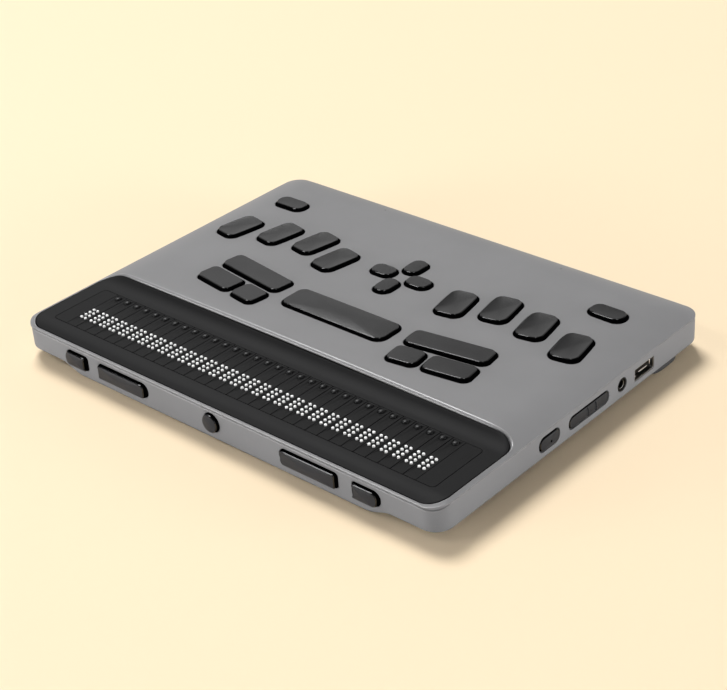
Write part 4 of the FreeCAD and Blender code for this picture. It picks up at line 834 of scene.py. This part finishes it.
class NOTETAKER_OT_deck(bpy.types.Operator):
    """Make the key deck with its rolled sides, its rim, its lip and its key openings"""

    bl_idname = "notetaker.deck"
    bl_label = "Key deck"

    thickness = 1.5
    rim_width = 0.9
    seam_chamfer = 0.12
    side_edge = 0.14
    hole_edge = 0.14
    front_lip = 0.25

    def execute(self, context):
        skin = Skin()
        edge = plan_outline(FRONT)
        opening = bezel_outline(BEZEL_GAP)
        behind = smooth((opening.points[:, 1] - (BEZEL_HIGH[1] - 8.0)) / 7.0)
        lip = self.front_lip + (sizes().lip_radius - self.front_lip) * behind
        holes = [opening.grown(lip)]
        holes += [key_outline(*key, KEY_GAP + self.hole_edge) for key in deck_keys()]
        holes += [circle_outline(MIC_HOLE_RADIUS, (side * MIC_HOLE_PLACE[0], MIC_HOLE_PLACE[1]), 16)
                  for side in (-1, 1)]
        across = mirrored(np.arange(0, 102, 6.0), np.arange(102.5, 121.2, 1.1))
        along = np.concatenate([np.arange(FRONT + 1, 73, 3.0), np.arange(73.5, 90.5, 0.9)])
        skin.plate(edge.grown(-self.rim_width), holes, deck_height, self.thickness,
                   grid(across, along), 0.5)
        self.add_lip(skin, opening, lip)
        for hole in holes[1:]:
            self.add_throat(skin, hole)
        self.add_rim(skin, edge)
        skin.make("deck", "casing", casing_materials(), ["top_cover"], "casing_plastic")
        return {"FINISHED"}

    def add_throat(self, skin, hole):
        """A small quarter round at the edge of a hole, then its straight wall."""
        radius = self.hole_edge
        level = deck_height(hole.points)
        foot = level - self.thickness
        skin.band([*quarter_round(hole, -radius, radius, level, 4),
                   hole.grown(-radius).ring(foot + radius), hole.ring(foot)])

    def add_lip(self, skin, opening, lip):
        """The rounded lip round the display: a quarter round whose radius grows behind."""
        start = opening.grown(lip)
        level = deck_height(start.points)
        rings = quarter_round(start, -lip, lip, level, 9)
        skin.band(rings, 1)
        skin.band([rings[-1], opening.ring(level - np.maximum(self.thickness, lip + 0.1)),
                   start.ring(level - self.thickness)])

    def add_rim(self, skin, edge):
        """The outer edge: a quarter round, sharp on the sides and fuller in front, then the short
        upright band over the seam."""
        share = seam_share(edge.points[:, 1])
        radius = self.side_edge + (sizes().rim_radius - self.side_edge) * share
        seam = DECK_SEAM - DECK_SEAM_FALL * share
        inner, start = edge.grown(-self.rim_width), edge.grown(-radius)
        top = deck_height(inner.points)
        bead = quarter_round(start, radius, radius, deck_height(start.points), 9)[::-1]
        skin.band([inner.ring(top - self.thickness), inner.ring(seam),
                   edge.grown(-self.seam_chamfer).ring(seam), edge.ring(seam + self.seam_chamfer),
                   bead[0]])
        skin.band(bead, 1)
        skin.band([bead[-1], inner.ring(top)])


def bezel_height(points):
    """The bezel's surface: level, a circular fall in front, a hollow sweep up behind, held under
    the deck's rolled sides by a smooth minimum."""
    x, y = points[:, 0], points[:, 1] - FRONT
    level = CAP_HIGH[2]
    z = level - arc_drop(10.0 - y, 8.3, 1.6) + arc_drop(y - 42.0, 9.9, 2.9)
    limit = deck_height(np.column_stack([np.minimum(np.abs(x) + 0.6, HALF_WIDTH), np.full(len(x), 0.0)]))
    sharp = 4.0
    return np.where(z > level, -np.log(np.exp(-sharp * (z - level)) + np.exp(-sharp * (limit - level)))
                    / sharp + level, z)


class NOTETAKER_OT_bezel(bpy.types.Operator):
    """Make the black display bezel with its sweep up to the deck"""

    bl_idname = "notetaker.bezel"
    bl_label = "Display bezel"

    def execute(self, context):
        thickness, radius = 1.3, 0.22
        skin = Skin()
        strip = rounded_outline(STRIP_HALF_WIDTH, STRIP_DEPTH / 2 + STRIP_GAP, STRIP_RADIUS + STRIP_GAP,
                                (0.0, STRIP_START + STRIP_DEPTH / 2), arc=8)
        inner, outer = bezel_outline(-radius), strip.grown(radius)
        across = mirrored(np.arange(2, 115, 4.0), np.arange(112, 119.2, 0.9))
        along = FRONT + np.concatenate([np.arange(2.2, 10.2, 0.8), np.arange(12, 41, 3.0),
                                        np.arange(41.6, 51.8, 0.6)])
        skin.plate(inner, [outer], bezel_height, thickness, grid(across, along), 0.35)
        for line, sign in ((inner, 1), (outer, -1)):
            level = bezel_height(line.points)
            foot = level - thickness
            rings = [*quarter_round(line, sign * radius, radius, level, 5),
                     line.grown(sign * radius).ring(foot + radius), line.ring(foot)]
            skin.band(rings[::-1] if sign > 0 else rings)
        skin.make("bezel", "casing", [get_material("bezel black", bezel_material)],
                  ["display_bezel"], "bezel_plastic")
        return {"FINISHED"}


def cell_places():
    """The middle of each cell along the line."""
    return (np.arange(CELLS) - (CELLS - 1) / 2) * CELL_PITCH


class NOTETAKER_OT_cells(bpy.types.Operator):
    """Make the cell caps with their pin holes, and the blank end caps"""

    bl_idname = "notetaker.cells"
    bl_label = "Braille cells"

    half_seam = 0.15

    def execute(self, context):
        black = [get_material("cell black", cell_material)]
        middle_y, half_y = (CAP_LOW[1] + CAP_HIGH[1]) / 2, (CAP_HIGH[1] - CAP_LOW[1]) / 2
        holes = [
            circle_outline(PIN_HOLE_RADIUS, (side * DOT_PITCH / 2, BACK_DOT_ROW - DOT_PITCH * row), 12)
            for side in (-1, 1) for row in range(4)
        ]
        holes.append(circle_outline(ROUTING_HOLE_RADIUS, (0.0, ROUTING_ROW), 20))
        skin = Skin()
        tile = rounded_outline(CELL_PITCH / 2 - self.half_seam, half_y, TILE_RADIUS,
                               (0.0, middle_y), 40.0, 2)
        self.add_tile(skin, tile, holes)
        skin.repeat(cell_places())
        skin.make("cell_tiles", "casing", black, ["cell_caps"], "cell_plastic", 1e-8)
        near, far = CAP_HIGH[0] + CELL_GAP / 2, STRIP_HALF_WIDTH - STRIP_GAP
        skin = Skin()
        for side in (-1, 1):
            left, right = (TILE_RADIUS, STRIP_RADIUS)[::side]
            tile = rounded_outline((far - near) / 2, half_y, (left, right, right, left),
                                   (side * (near + far) / 2, middle_y), 40.0, 8)
            self.add_tile(skin, tile, [])
        skin.make("end_tiles", "casing", black, ["strip_end_caps"], "cell_plastic")
        return {"FINISHED"}

    def add_tile(self, skin, tile, holes):
        """A flat tile with a quarter-round edge and plain holes."""
        top, foot, radius = CAP_HIGH[2], CAP_LOW[2], 0.12
        inner = tile.grown(-radius)
        skin.plate(inner, holes, lambda points: np.full(len(points), top), top - foot)
        skin.band([inner.ring(foot), tile.ring(foot + radius),
                   *quarter_round(inner, radius, radius, top, 4)[::-1]])
        for hole in holes:
            skin.band([hole.ring(top), hole.ring(foot)])


def dome(skin, radius, centre, sides, foot, top, cap, steps=4, flat=1.0):
    """A round pillar with a rounded head: r = radius cos(a)^flat, z = top - cap (1 - sin a), for a
    from 0 to 90 degrees; the smaller the power, the flatter the head."""
    rings = [circle_outline(radius, centre, sides).ring(foot)]
    for angle in np.linspace(0, math.pi / 2, steps + 1)[:-1]:
        rings.append(circle_outline(radius * math.cos(angle) ** flat, centre, sides).ring(
            top - cap * (1 - math.sin(angle))))
    skin.plug(rings, (foot, top))


class NOTETAKER_OT_pins(bpy.types.Operator):
    """Make the round-headed braille pins, one piece for each dot position"""

    bl_idname = "notetaker.pins"
    bl_label = "Braille pins"

    def execute(self, context):
        white = get_material("pin white", pin_material)
        for dot in range(1, 9):
            node = f"braille_pins_dot_{dot}"
            low, high = node_box(node)
            centre = (low[0] + 0.75, (low[1] + high[1]) / 2)
            skin = Skin()
            dome(skin, PIN_RADIUS, centre, sizes().dot_faces, low[2], high[2], 0.26, 4, 0.6)
            skin.repeat(cell_places() - cell_places()[0])
            skin.make(f"pins_dot_{dot}", f"{node}_body", [white], [node], "pin_plastic", 1e-8)
        return {"FINISHED"}


class NOTETAKER_OT_routing_keys(bpy.types.Operator):
    """Make the domed cursor routing keys"""

    bl_idname = "notetaker.routing_keys"
    bl_label = "Routing keys"

    def execute(self, context):
        low, high = node_box("routing_keys")
        skin = Skin()
        dome(skin, ROUTING_KEY_RADIUS, (0.0, (low[1] + high[1]) / 2), 20, high[2] - 2.6, high[2], 0.7, 6)
        skin.repeat(cell_places())
        skin.make("routing_domes", "routing_keys_body", [get_material("routing black", routing_material)],
                  ["routing_keys"], "routing_plastic", 1e-8)
        return {"FINISHED"}


def add_key(skin, outline, foot, top, draft, bow, bevel, turn=np.asarray, steep=1.0):
    """A key: flanks that lean in by the draft, a narrow bevel that bulges a little and a top that
    is dished or crowned. The bevel goes in by its width and down by steep times its width. With t
    the share of the way from the middle to the edge, the top's height is top + bow (1 - t^2). The
    flanks, the bevel and the top get slots 0, 1 and 2."""
    middle = outline.points.mean(0)
    shoulder = outline.grown(-draft)
    flank = [outline.ring(foot), outline.ring(top - 1.7), shoulder.ring(top - bevel * steep)]
    skin.band([turn(ring) for ring in flank], 0)
    edge = [shoulder.grown(-bevel * (share - bulge)).ring(top - bevel * steep * (1 - share - bulge))
            for share, bulge in ((0.0, 0.0), (0.25, 0.012), (0.5, 0.016), (0.75, 0.012), (1.0, 0.0))]
    skin.band([turn(ring) for ring in edge], 1)
    inner = shoulder.grown(-bevel).points
    rings = []
    for share in (1.0, 0.97, 0.9, 0.78, 0.6, 0.4, 0.2):
        points = middle + (inner - middle) * share
        height = top + bow * (1 - share ** 2)
        rings.append(np.column_stack([points, np.full(len(points), height)]))
    skin.band([turn(ring) for ring in rings], 2)
    skin.fan(turn(rings[-1]), turn([[*middle, top + bow]])[0], 2)
    skin.fan(turn(flank[0]), turn([[*middle, foot]])[0], 0, flip=True)


def make_cap(skin, name, short=None, on_wall=False):
    """Finish a key's cap: flank, edge and top each have a finish of their own; the flank and the edge
    are painted darker than the top, as painted shade on one plastic.
    """
    top = ("side key charcoal", side_key_material) if on_wall else ("key top charcoal", key_top_material)
    # Painted shade: the flank and the edge get darker copies of the key plastic.
    finishes = [get_material("key flank black", key_flank_shade_material),
                get_material("key edge black", key_edge_shade_material), get_material(*top)]
    skin.make(f"{short or name}_cap", f"{name}_body", finishes, [name], "key_plastic", crease=25.0)


class NOTETAKER_OT_deck_keys(bpy.types.Operator):
    """Make the braille keys, space bar, arrows, command and function keys"""

    bl_idname = "notetaker.deck_keys"
    bl_label = "Deck keys"

    def execute(self, context):
        s = sizes()
        bows = {"dot_key": -s.dish, "space_key": s.crown, "function_key": -0.1}
        for name, kind, slant in deck_keys():
            skin = Skin()
            outline = key_outline(name, kind, slant, step=2.0, arc=12)
            bow = bows.get(kind, 0.05)
            high = node_box(name)[1][2]
            add_key(skin, outline, high - KEY_HEIGHT, high - max(bow, 0.0), s.key_draft, bow, s.key_edge)
            make_cap(skin, name)
        return {"FINISHED"}


def on_front(points):
    """Turn (across, up, out) into the frame of the front wall: out is towards -Y."""
    points = np.asarray(points, float)
    return np.column_stack([points[:, 0], -points[:, 2], points[:, 1]])


def on_right(points):
    """Turn (along, up, out) into the frame of the right wall: out is towards +X."""
    points = np.asarray(points, float)
    return np.column_stack([points[:, 2], points[:, 0], points[:, 1]])


def on_left(points):
    """Turn (along, up, out) into the frame of the left wall: out is towards -X."""
    points = np.asarray(points, float)
    return np.column_stack([-points[:, 2], -points[:, 0], points[:, 1]])


def thumb_outlines(growth=0.0):
    """The front keys' outlines on the wall, by node name."""
    found = {"home_key": circle_outline(4.4 + growth, (0.0, THUMB_HEIGHT), 40)}
    for side, name in ((-1, "left"), (1, "right")):
        for kind, place, width, inner, outer in THUMB_KEYS:
            left, right = (inner, outer) if side > 0 else (outer, inner)
            outline = rounded_outline(width / 2, 3.5, (left, right, right, left),
                                      (side * place, THUMB_HEIGHT))
            found[f"{name}_{kind}_thumb_key"] = outline.grown(growth)
    return found


class NOTETAKER_OT_front_keys(bpy.types.Operator):
    """Make the five keys of the front wall"""

    bl_idname = "notetaker.front_keys"
    bl_label = "Front keys"

    def execute(self, context):
        for name, outline in thumb_outlines().items():
            skin = Skin()
            # The ends lean in further than the long edges, the inner ones furthest.
            ends = outline.normals[:, 0] * np.sign(round(outline.points[:, 0].mean()))
            lean = 0.12 + np.where(ends < 0, 1.4, 0.6) * ends ** 2
            out = -node_box(name)[0][1]
            add_key(skin, outline, foot=-(FRONT + 2.3), top=out - 0.65, draft=lean, bow=0.6, bevel=0.36,
                    turn=on_front, steep=1.2)
            make_cap(skin, name, on_wall=True)
        return {"FINISHED"}


def side_outline(kind, growth=0.0):
    """The outline of the power button, the rocker or a port on the right wall."""
    along, height, width, depth, radius = RIGHT_WALL[kind]
    return rounded_outline(width / 2, depth / 2, radius, (along, height)).grown(growth)


class NOTETAKER_OT_side_controls(bpy.types.Operator):
    """Make the power button and the volume rocker"""

    bl_idname = "notetaker.side_controls"
    bl_label = "Side controls"

    def execute(self, context):
        foot, out = HALF_WIDTH - 1.9, HALF_WIDTH + 0.9
        skin = Skin()
        add_key(skin, side_outline("power"), foot, out - 0.6, draft=0.45, bow=0.6, bevel=0.3,
                turn=on_right)
        self.add_pip(skin, RIGHT_WALL["power"][:2], out)
        make_cap(skin, "power_button", "power", on_wall=True)
        skin = Skin()
        add_key(skin, side_outline("volume"), foot, out - 0.85, draft=0.45, bow=0.5, bevel=0.3,
                turn=on_right)
        for place in (95.2, 100.7):
            self.add_ridge(skin, (FRONT + place, CONTROL_HEIGHT), out)
        make_cap(skin, "volume_rocker", "volume", on_wall=True)
        return {"FINISHED"}

    def add_pip(self, skin, centre, out):
        """A small round pip in the middle of the power button."""
        skin.plug([circle_outline(radius, centre, 16).ring(out + rise)
                   for radius, rise in ((0.55, -0.2), (0.55, 0.03), (0.42, 0.10))],
                  (out - 0.2, out + 0.10), 0, on_right)

    def add_ridge(self, skin, centre, out):
        """An upright ridge on the rocker, lower towards its ends: out - 0.45 (up / 2.5)^2."""
        ridge = rounded_outline(0.4, 2.1, 0.3, centre, arc=4)
        level = out - 0.45 * ((ridge.points[:, 1] - centre[1]) / 2.5) ** 2
        rings = [ridge.ring(out - 0.9), ridge.ring(level - 0.1), ridge.grown(-0.2).ring(level)]
        skin.plug(rings, (out - 0.9, out), 2, on_right)


def case_bottom(points):
    """The underside: level, with the front belly let down by smooth ramps on its sides and back."""
    x, y = np.abs(points[:, 0]), points[:, 1]
    across = 1 - smooth((x - BELLY_HALF_WIDTH) / SIDE_RAMP)
    along = 1 - smooth((y - BELLY_BACK) / BACK_RAMP)
    return UNDERSIDE - BELLY_DROP * across * along


class NOTETAKER_OT_casing(bpy.types.Operator):
    """Make the lower casing with its walls, openings, belly and floor"""

    bl_idname = "notetaker.casing"
    bl_label = "Lower casing"

    wall = 1.6
    edge_radius = 0.3

    def execute(self, context):
        skin = Skin()
        outline = plan_outline(CASE_FRONT)
        # The walls' flat mesh starts in the middle of the back, away from every opening.
        start = int(np.argmin(np.abs(outline.points[:, 0]) + 1e3 * (outline.points[:, 1] < BACK - 0.1)))
        line = Outline(np.roll(outline.points, -start, 0), np.roll(outline.normals, -start, 0))
        share = seam_share(line.points[:, 1])
        seam = CASE_SEAM - CASE_SEAM_FALL * share
        radius = self.edge_radius * (1 + share)
        inner = line.grown(-self.wall)
        low, high = case_bottom(line.points) + self.wall, seam - radius
        self.add_walls(skin, line, low, high)
        rings = quarter_round(line.grown(-radius), radius, radius, seam, 7)[::-1]
        skin.band(rings, 1)
        skin.band([rings[-1], inner.ring(seam), inner.ring(high)])
        rings = quarter_round(inner, self.wall, -self.wall, case_bottom(inner.points), 9)
        skin.band([*rings[:-1], line.ring(low)])
        self.add_floor(skin, inner, low)
        skin.make("casing_shell", "casing", casing_materials(), ["lower_case"], "casing_plastic")
        return {"FINISHED"}

    def add_walls(self, skin, line, low, high):
        """Outer and inner wall as one flat mesh of (way along the outline, height), laid onto the
        outline, with a chamfered throat in each opening."""
        points = np.vstack([line.points, line.points[:1]])
        normals = np.vstack([line.normals, line.normals[:1]])
        way = np.concatenate([[0], np.cumsum(np.linalg.norm(np.diff(points, axis=0), axis=1))])
        lows, highs = np.append(low, low[0]), np.append(high, high[0])

        def laid(flat, inset):
            """Point = outline(way) - inset * normal(way), at its height."""
            place = [np.interp(flat[:, 0], way, points[:, axis]) for axis in (0, 1)]
            facing = [np.interp(flat[:, 0], way, normals[:, axis]) for axis in (0, 1)]
            return np.column_stack([place[0] - facing[0] * inset, place[1] - facing[1] * inset,
                                    flat[:, 1]])

        def nearest(x, y):
            """The outline's way and its point next to a place."""
            place = int(np.argmin(((points[:-1] - (x, y)) ** 2).sum(1)))
            return way[place], points[place]

        front_way, (front_x, _) = nearest(0.0, CASE_FRONT)
        right_way, (_, right_y) = nearest(HALF_WIDTH, 0.0)
        left_way, (_, left_y) = nearest(-HALF_WIDTH, 0.0)
        chamfer = 0.12
        holes = [Outline(outline.points + (front_way - front_x, 0), outline.normals)
                 for outline in thumb_outlines(KEY_GAP + chamfer).values()]
        for kind, gap in (("power", KEY_GAP), ("volume", KEY_GAP), ("usb", PORT_GAP)):
            outline = side_outline(kind, gap + chamfer)
            holes.append(Outline(outline.points + (right_way - right_y, 0), outline.normals))
        holes.append(circle_outline(JACK_HOLE_RADIUS + chamfer,
                                    (JACK_CENTRE[0] + right_way - right_y, JACK_CENTRE[1]), 32))
        for along in USB_C_PLACES:
            opening = rounded_outline(4.6, 1.75, 1.5, (left_way + left_y - along, USB_C_HEIGHT), arc=8)
            holes.append(opening.grown(chamfer))
        border = np.vstack([np.column_stack([way, lows]), np.column_stack([way, highs])[::-1]])
        outer = Outline(border, np.zeros_like(border))
        flat, faces = triangulate(outer, holes, grid(way[2:-2:2], np.arange(4.0, 16.0, 2.0)), 0.7)
        skin.add(laid(flat, 0.0), faces)
        skin.add(laid(flat, self.wall), faces, flip=True)
        for hole in holes:
            tight = hole.grown(-chamfer)
            skin.band([laid(hole.points, 0.0), laid(tight.points, chamfer),
                       laid(tight.points, self.wall - chamfer), laid(hole.points, self.wall)])

    def add_floor(self, skin, bottom, low):
        """The floor's two faces with the screw holes and the slots under the speakers."""
        thickness = 1.4
        holes = []
        for side in (-1, 1):
            holes += [circle_outline(SCREW_HOLE_RADIUS, (side * SCREW_COLUMN, row), 24)
                      for row in SCREW_ROWS]
            holes += [rounded_outline(3.67, 0.7, 0.6, (side * SLOT_COLUMN, row), arc=5)
                      for row in SLOT_ROWS]
        across = np.concatenate([
            np.arange(-80, 81, 10.0), np.arange(84, 99, 1.7), -np.arange(84, 99, 1.7),
            np.arange(102, 119, 4.0), -np.arange(102, 119, 4.0)])
        along = np.concatenate([
            np.arange(FRONT + 3, FRONT + 55, 4.0), np.arange(BELLY_BACK, FRONT + 61, 0.7),
            np.arange(FRONT + 66, BACK - 2, 8.0)])

        def floor_height(points):
            return case_bottom(points) + thickness

        skin.plate(bottom, holes, floor_height, thickness, grid(across, along))
        for hole in holes:
            skin.band([hole.ring(floor_height(hole.points)), hole.ring(case_bottom(hole.points))])
        skin.band([bottom.ring(low), bottom.ring(floor_height(bottom.points))])


class NOTETAKER_OT_ports(bpy.types.Operator):
    """Make the audio jack, the USB-A port and the two small ports on the left"""

    bl_idname = "notetaker.ports"
    bl_label = "Ports"

    def execute(self, context):
        steel = get_material("port steel", metal_material, (0.30, 0.30, 0.30), 0.24)
        gold = get_material("contact gold", metal_material, (0.83, 0.62, 0.28), 0.2)
        black = get_material("port black", moulded, (0.004, 0.004, 0.004), 0.45, 0.000010, 0.12)
        self.add_jack(steel, black)
        self.add_usb_a(steel, gold, black)
        self.add_usb_c(steel, gold, black)
        return {"FINISHED"}

    def add_jack(self, steel, black):
        """A black barrel with a raised lip, a steel ring in its mouth and a dark bore."""
        face = HALF_WIDTH - 0.15
        skin = Skin()
        for slot, profile in (
                (0, ((3.15, 8.0), (3.15, 0.25), (3.0, 0.0), (2.55, 0.0), (2.35, 0.2))),
                (0, ((2.35, 0.2), (2.3, 0.5), (1.95, 0.5))), (1, ((1.95, 0.5), (1.8, 0.62))),
                (0, ((1.8, 0.62), (1.77, 1.6), (1.77, 12.0)))):
            rings = [on_right(circle_outline(radius, JACK_CENTRE, 40).ring(face - depth))
                     for radius, depth in profile]
            skin.band(rings, slot)
        skin.fan(rings[-1], on_right([[*JACK_CENTRE, face - 12.0]])[0], 0)
        skin.make("jack_barrel", "casing", [black, steel], ["audio_jack"], "port_plastic")

    def add_socket(self, skin, turn, outline, face, wall, depth, length):
        """A thin shell with an open mouth: outside, rolled edge, inside and closed back."""
        inside = outline.grown(-wall)
        rings = [outline.ring(face - length), outline.ring(face - 0.12), outline.grown(-0.12).ring(face),
                 outline.grown(0.08 - wall).ring(face), inside.ring(face - 0.12),
                 inside.ring(face - depth)]
        skin.plug(rings, (face - length, face - depth), 0, turn, lid=2)

    def add_block(self, skin, turn, outline, low, high, slot):
        """A block between two depths, with a small chamfer in front."""
        rings = [outline.ring(low), outline.ring(high - 0.1), outline.grown(-0.1).ring(high)]
        skin.plug(rings, (low, high), slot, turn)

    def add_usb_a(self, steel, gold, black):
        """The shell, the tongue over its middle, three inner plates of a lighter steel than the shell as
            painted highlights, and four contacts.
        """
        face = HALF_WIDTH - 0.2
        along, height = RIGHT_WALL["usb"][:2]
        skin = Skin()
        self.add_socket(skin, on_right, side_outline("usb"), face, 0.4, 10.5, 15.0)
        # Place along and up, half width and height, corner radius and its steps, the depths of the
        # foot and the head, and slot
        blocks = [(0.0, 0.75, 5.6, 0.95, 0.15, 3, 10.4, 0.9, 2)]
        blocks += [(*plate, 0.1, 2, 9.0, 0.8, 3) for plate in (
            (0.3, -0.42, 3.0, 0.26), (5.3, 0.55, 0.28, 1.35), (-5.6, -1.55, 0.9, 0.3))]
        blocks += [(place, -0.25, 0.55, 0.08, 0.05, 2, 9.5, 1.3, 1) for place in (-3.5, -1.05, 1.05, 3.5)]
        for place, up, half_x, half_z, radius, arc, foot, head, slot in blocks:
            block = rounded_outline(half_x, half_z, radius, (along + place, height + up), 20.0, arc)
            self.add_block(skin, on_right, block, face - foot, face - head, slot)
        # Painted highlight: the inner plates get a lighter steel than the shell.
        bright = get_material("bright steel", metal_material, (0.74, 0.73, 0.72), 0.3)
        skin.make("usb_a_socket", "casing", [steel, gold, black, bright], ["usb_a_port"], "steel")

    def add_usb_c(self, steel, gold, black):
        """Two shells, each with a thin tongue and a strip of contacts."""
        face = HALF_WIDTH - 0.2
        skin = Skin()
        for along in USB_C_PLACES:
            shell = rounded_outline(4.5, 1.65, 1.5, (-along, USB_C_HEIGHT), 3.0, 8)
            self.add_socket(skin, on_left, shell, face, 0.3, 6.4, 8.0)
            tongue = rounded_outline(3.2, 0.33, 0.1, (-along, USB_C_HEIGHT), 20.0, 3)
            self.add_block(skin, on_left, tongue, face - 6.3, face - 0.8, 2)
            strip = rounded_outline(2.6, 0.06, 0.05, (-along, USB_C_HEIGHT + 0.38), 20.0, 2)
            self.add_block(skin, on_left, strip, face - 5.5, face - 1.2, 1)
        skin.make("usb_c_sockets", "casing", [steel, gold, black], ["usb_c_ports"], "steel")


class NOTETAKER_OT_inner_pieces(bpy.types.Operator):
    """Give the pieces that stay as CAD nodes their materials"""

    bl_idname = "notetaker.inner_pieces"
    bl_label = "Feet and inner pieces"

    def execute(self, context):
        for name, make, nodes in (
                ("circuit board", board_material, ("cell_backplane", "routing_switch_strip",
                                                   "keyboard_board", "main_board", "edge_boards")),
                ("foot rubber", rubber_material, ("rear_feet", "front_foot_pads", "key_domes",
                                                  "speakers")),
                ("module plastic", module_material, ("cell_modules",)),
                ("battery wrap", wrap_material, ("battery_pack",)),
                ("amber flex", amber_flex_material, ("flex_cables",)),
                ("shield steel", shield_material, ("processor_shield", "case_screws", "microphones"))):
            for node in nodes:
                self.paint(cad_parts[node], get_material(name, make))
        return {"FINISHED"}

    def paint(self, piece, material):
        """Put a material in each slot of a piece, or in a new slot if it has none."""
        if not piece.material_slots:
            piece.data.materials.append(material)
        for slot in piece.material_slots:
            slot.material = material


class NOTETAKER_OT_stage(bpy.types.Operator):
    """Set up the floor, the soft light and the camera"""

    bl_idname = "notetaker.stage"
    bl_label = "Stage"

    def execute(self, context):
        scene = context.scene
        stage = scene.notetaker_stage
        scene.view_settings.view_transform = "Standard"
        self.add_floor(stage)
        self.add_world(scene, stage)
        for name, place, size, power, roll in (
                ("Main", (-3.0, 1.8, 4.86), (2.3, 2.3), stage.key_power, 0.0),
                ("Front", (-0.91, -1.29, 0.20), (0.9, 0.3), stage.front_power, 0.0),
                ("Side", (1.50, 0.54, 0.20), (0.9, 0.3), stage.side_power, 0.0),
                ("Back", (-3.86, 4.06, 2.15), (4.8, 2.0), stage.back_power, 0.0),
                ("Strip", (-0.543, -0.679, 0.928), (0.62, 0.07), stage.strip_power, 38.0),
                ("Top", (0.48, -0.34, 0.98), (0.10, 0.10), stage.top_power, 0.0)):
            self.add_lamp(f"{name} softbox", place, size, power, roll)
        self.add_camera(scene, stage)
        return {"FINISHED"}

    def add_floor(self, stage):
        """A plane at the foot of the object, wide enough to fill every view."""
        reach = 6.0
        mesh = bpy.data.meshes.new("floor")
        corners = np.array([(-1, -1, 0), (1, -1, 0), (1, 1, 0), (-1, 1, 0)], float) * reach
        mesh.from_pydata(corners.tolist(), [], [(0, 1, 2, 3)])
        floor = bpy.data.objects.new("floor", mesh)
        floor.location.z = -0.00005
        bpy.context.scene.collection.objects.link(floor)
        paint = Paint("floor", Roughness=0.9, Specular_IOR_Level=0.0)
        colour = tuple(stage.floor_colour)
        cloud = paint.noise(3.0, 2.0, 0.5)
        seen = paint.mix(cloud, tint(colour, 0.99), colour)
        plain = (0.88, 0.87, 0.865)
        paint.set(Base_Color=paint.mix(self.in_view(paint), plain, seen))
        mesh.materials.append(paint.material)

    def in_view(self, paint):
        """1 where the camera, gloss or glass looks, 0 for the light that a surface scatters, so
        that the floor's colour is seen but doesn't stain the object's sides."""
        camera = paint.node("LightPath", output="Is Camera Ray")
        glossy, through = camera.output("Is Glossy Ray"), camera.output("Is Transmission Ray")
        return paint.level(camera + glossy + through, 0.0, 1.0)

    def add_world(self, scene, stage):
        """Even light all round, brightest low down: the strength falls from the horizon's to the
        sky's while the height of the direction goes from 0.33 to 0.62."""
        scene.world = bpy.data.worlds.new("studio")
        nodes = Nodes(scene.world)
        direction = nodes.node("TexCoord", output="Generated")
        height = nodes.node("SeparateXYZ", output="Z", Vector=direction)
        strength = nodes.level(height, 0.33, 0.62, stage.horizon_strength, stage.sky_strength,
                               "SMOOTHSTEP")
        light = nodes.node("Background", Color=(1.0, 0.995, 0.99, 1.0), Strength=strength)
        nodes.end("World", light)

    def add_lamp(self, name, place, size, power, roll):
        """A rectangular soft light that faces the object, turned about its own aim by a roll."""
        lamp = bpy.data.lights.new(name, "AREA")
        lamp.shape = "RECTANGLE"
        lamp.size, lamp.size_y = size
        lamp.energy = power
        made = bpy.data.objects.new(name, lamp)
        made.location = place
        facing = (Vector((0.0, 0.0, 0.01)) - Vector(place)).to_track_quat("-Z", "Y")
        made.rotation_euler = (facing @ Quaternion((0, 0, 1), math.radians(roll))).to_euler()
        bpy.context.scene.collection.objects.link(made)

    def add_camera(self, scene, stage):
        """The camera that took the photo: its place in metres and its three turns in degrees."""
        camera = bpy.data.cameras.new("photo camera")
        camera.sensor_fit = "HORIZONTAL"
        camera.sensor_width = 36.0
        camera.lens = stage.focal_length
        camera.clip_start, camera.clip_end = 0.01, 50.0
        made = bpy.data.objects.new("photo camera", camera)
        made.location = (0.457483, -0.476459, 0.394140)
        made.rotation_euler = [math.radians(angle) for angle in (59.21759, 3.59512, 41.47741)]
        scene.collection.objects.link(made)
        scene.camera = made


OPERATORS = (
    NOTETAKER_OT_stage, NOTETAKER_OT_deck, NOTETAKER_OT_casing, NOTETAKER_OT_bezel,
    NOTETAKER_OT_cells, NOTETAKER_OT_pins, NOTETAKER_OT_routing_keys, NOTETAKER_OT_deck_keys,
    NOTETAKER_OT_front_keys, NOTETAKER_OT_side_controls, NOTETAKER_OT_ports,
    NOTETAKER_OT_inner_pieces,
)


class NOTETAKER_PT_panel(bpy.types.Panel):
    """Lists the notetaker's sizes, colours and pieces"""

    bl_label = "Braille notetaker"
    bl_idname = "NOTETAKER_PT_panel"
    bl_space_type = "VIEW_3D"
    bl_region_type = "UI"
    bl_category = "Notetaker"

    def draw(self, context):
        layout = self.layout
        for group in (context.scene.notetaker_sizes, context.scene.notetaker_stage):
            for name in group.bl_rna.properties.keys():
                if name not in {"rna_type", "name"}:
                    layout.prop(group, name)
        for operator in OPERATORS:
            layout.operator(operator.bl_idname)


CLASSES = (NotetakerSizes, NotetakerStage, *OPERATORS, NOTETAKER_PT_panel)


def register():
    for cls in CLASSES:
        bpy.utils.register_class(cls)
    bpy.types.Scene.notetaker_sizes = PointerProperty(type=NotetakerSizes)
    bpy.types.Scene.notetaker_stage = PointerProperty(type=NotetakerStage)


def unregister():
    del bpy.types.Scene.notetaker_stage
    del bpy.types.Scene.notetaker_sizes
    for cls in reversed(CLASSES):
        bpy.utils.unregister_class(cls)


def main():
    """Make every piece and the stage."""
    register()
    for operator in OPERATORS:
        group, name = operator.bl_idname.split(".")
        getattr(getattr(bpy.ops, group), name)()


if __name__ == "__main__":
    main()
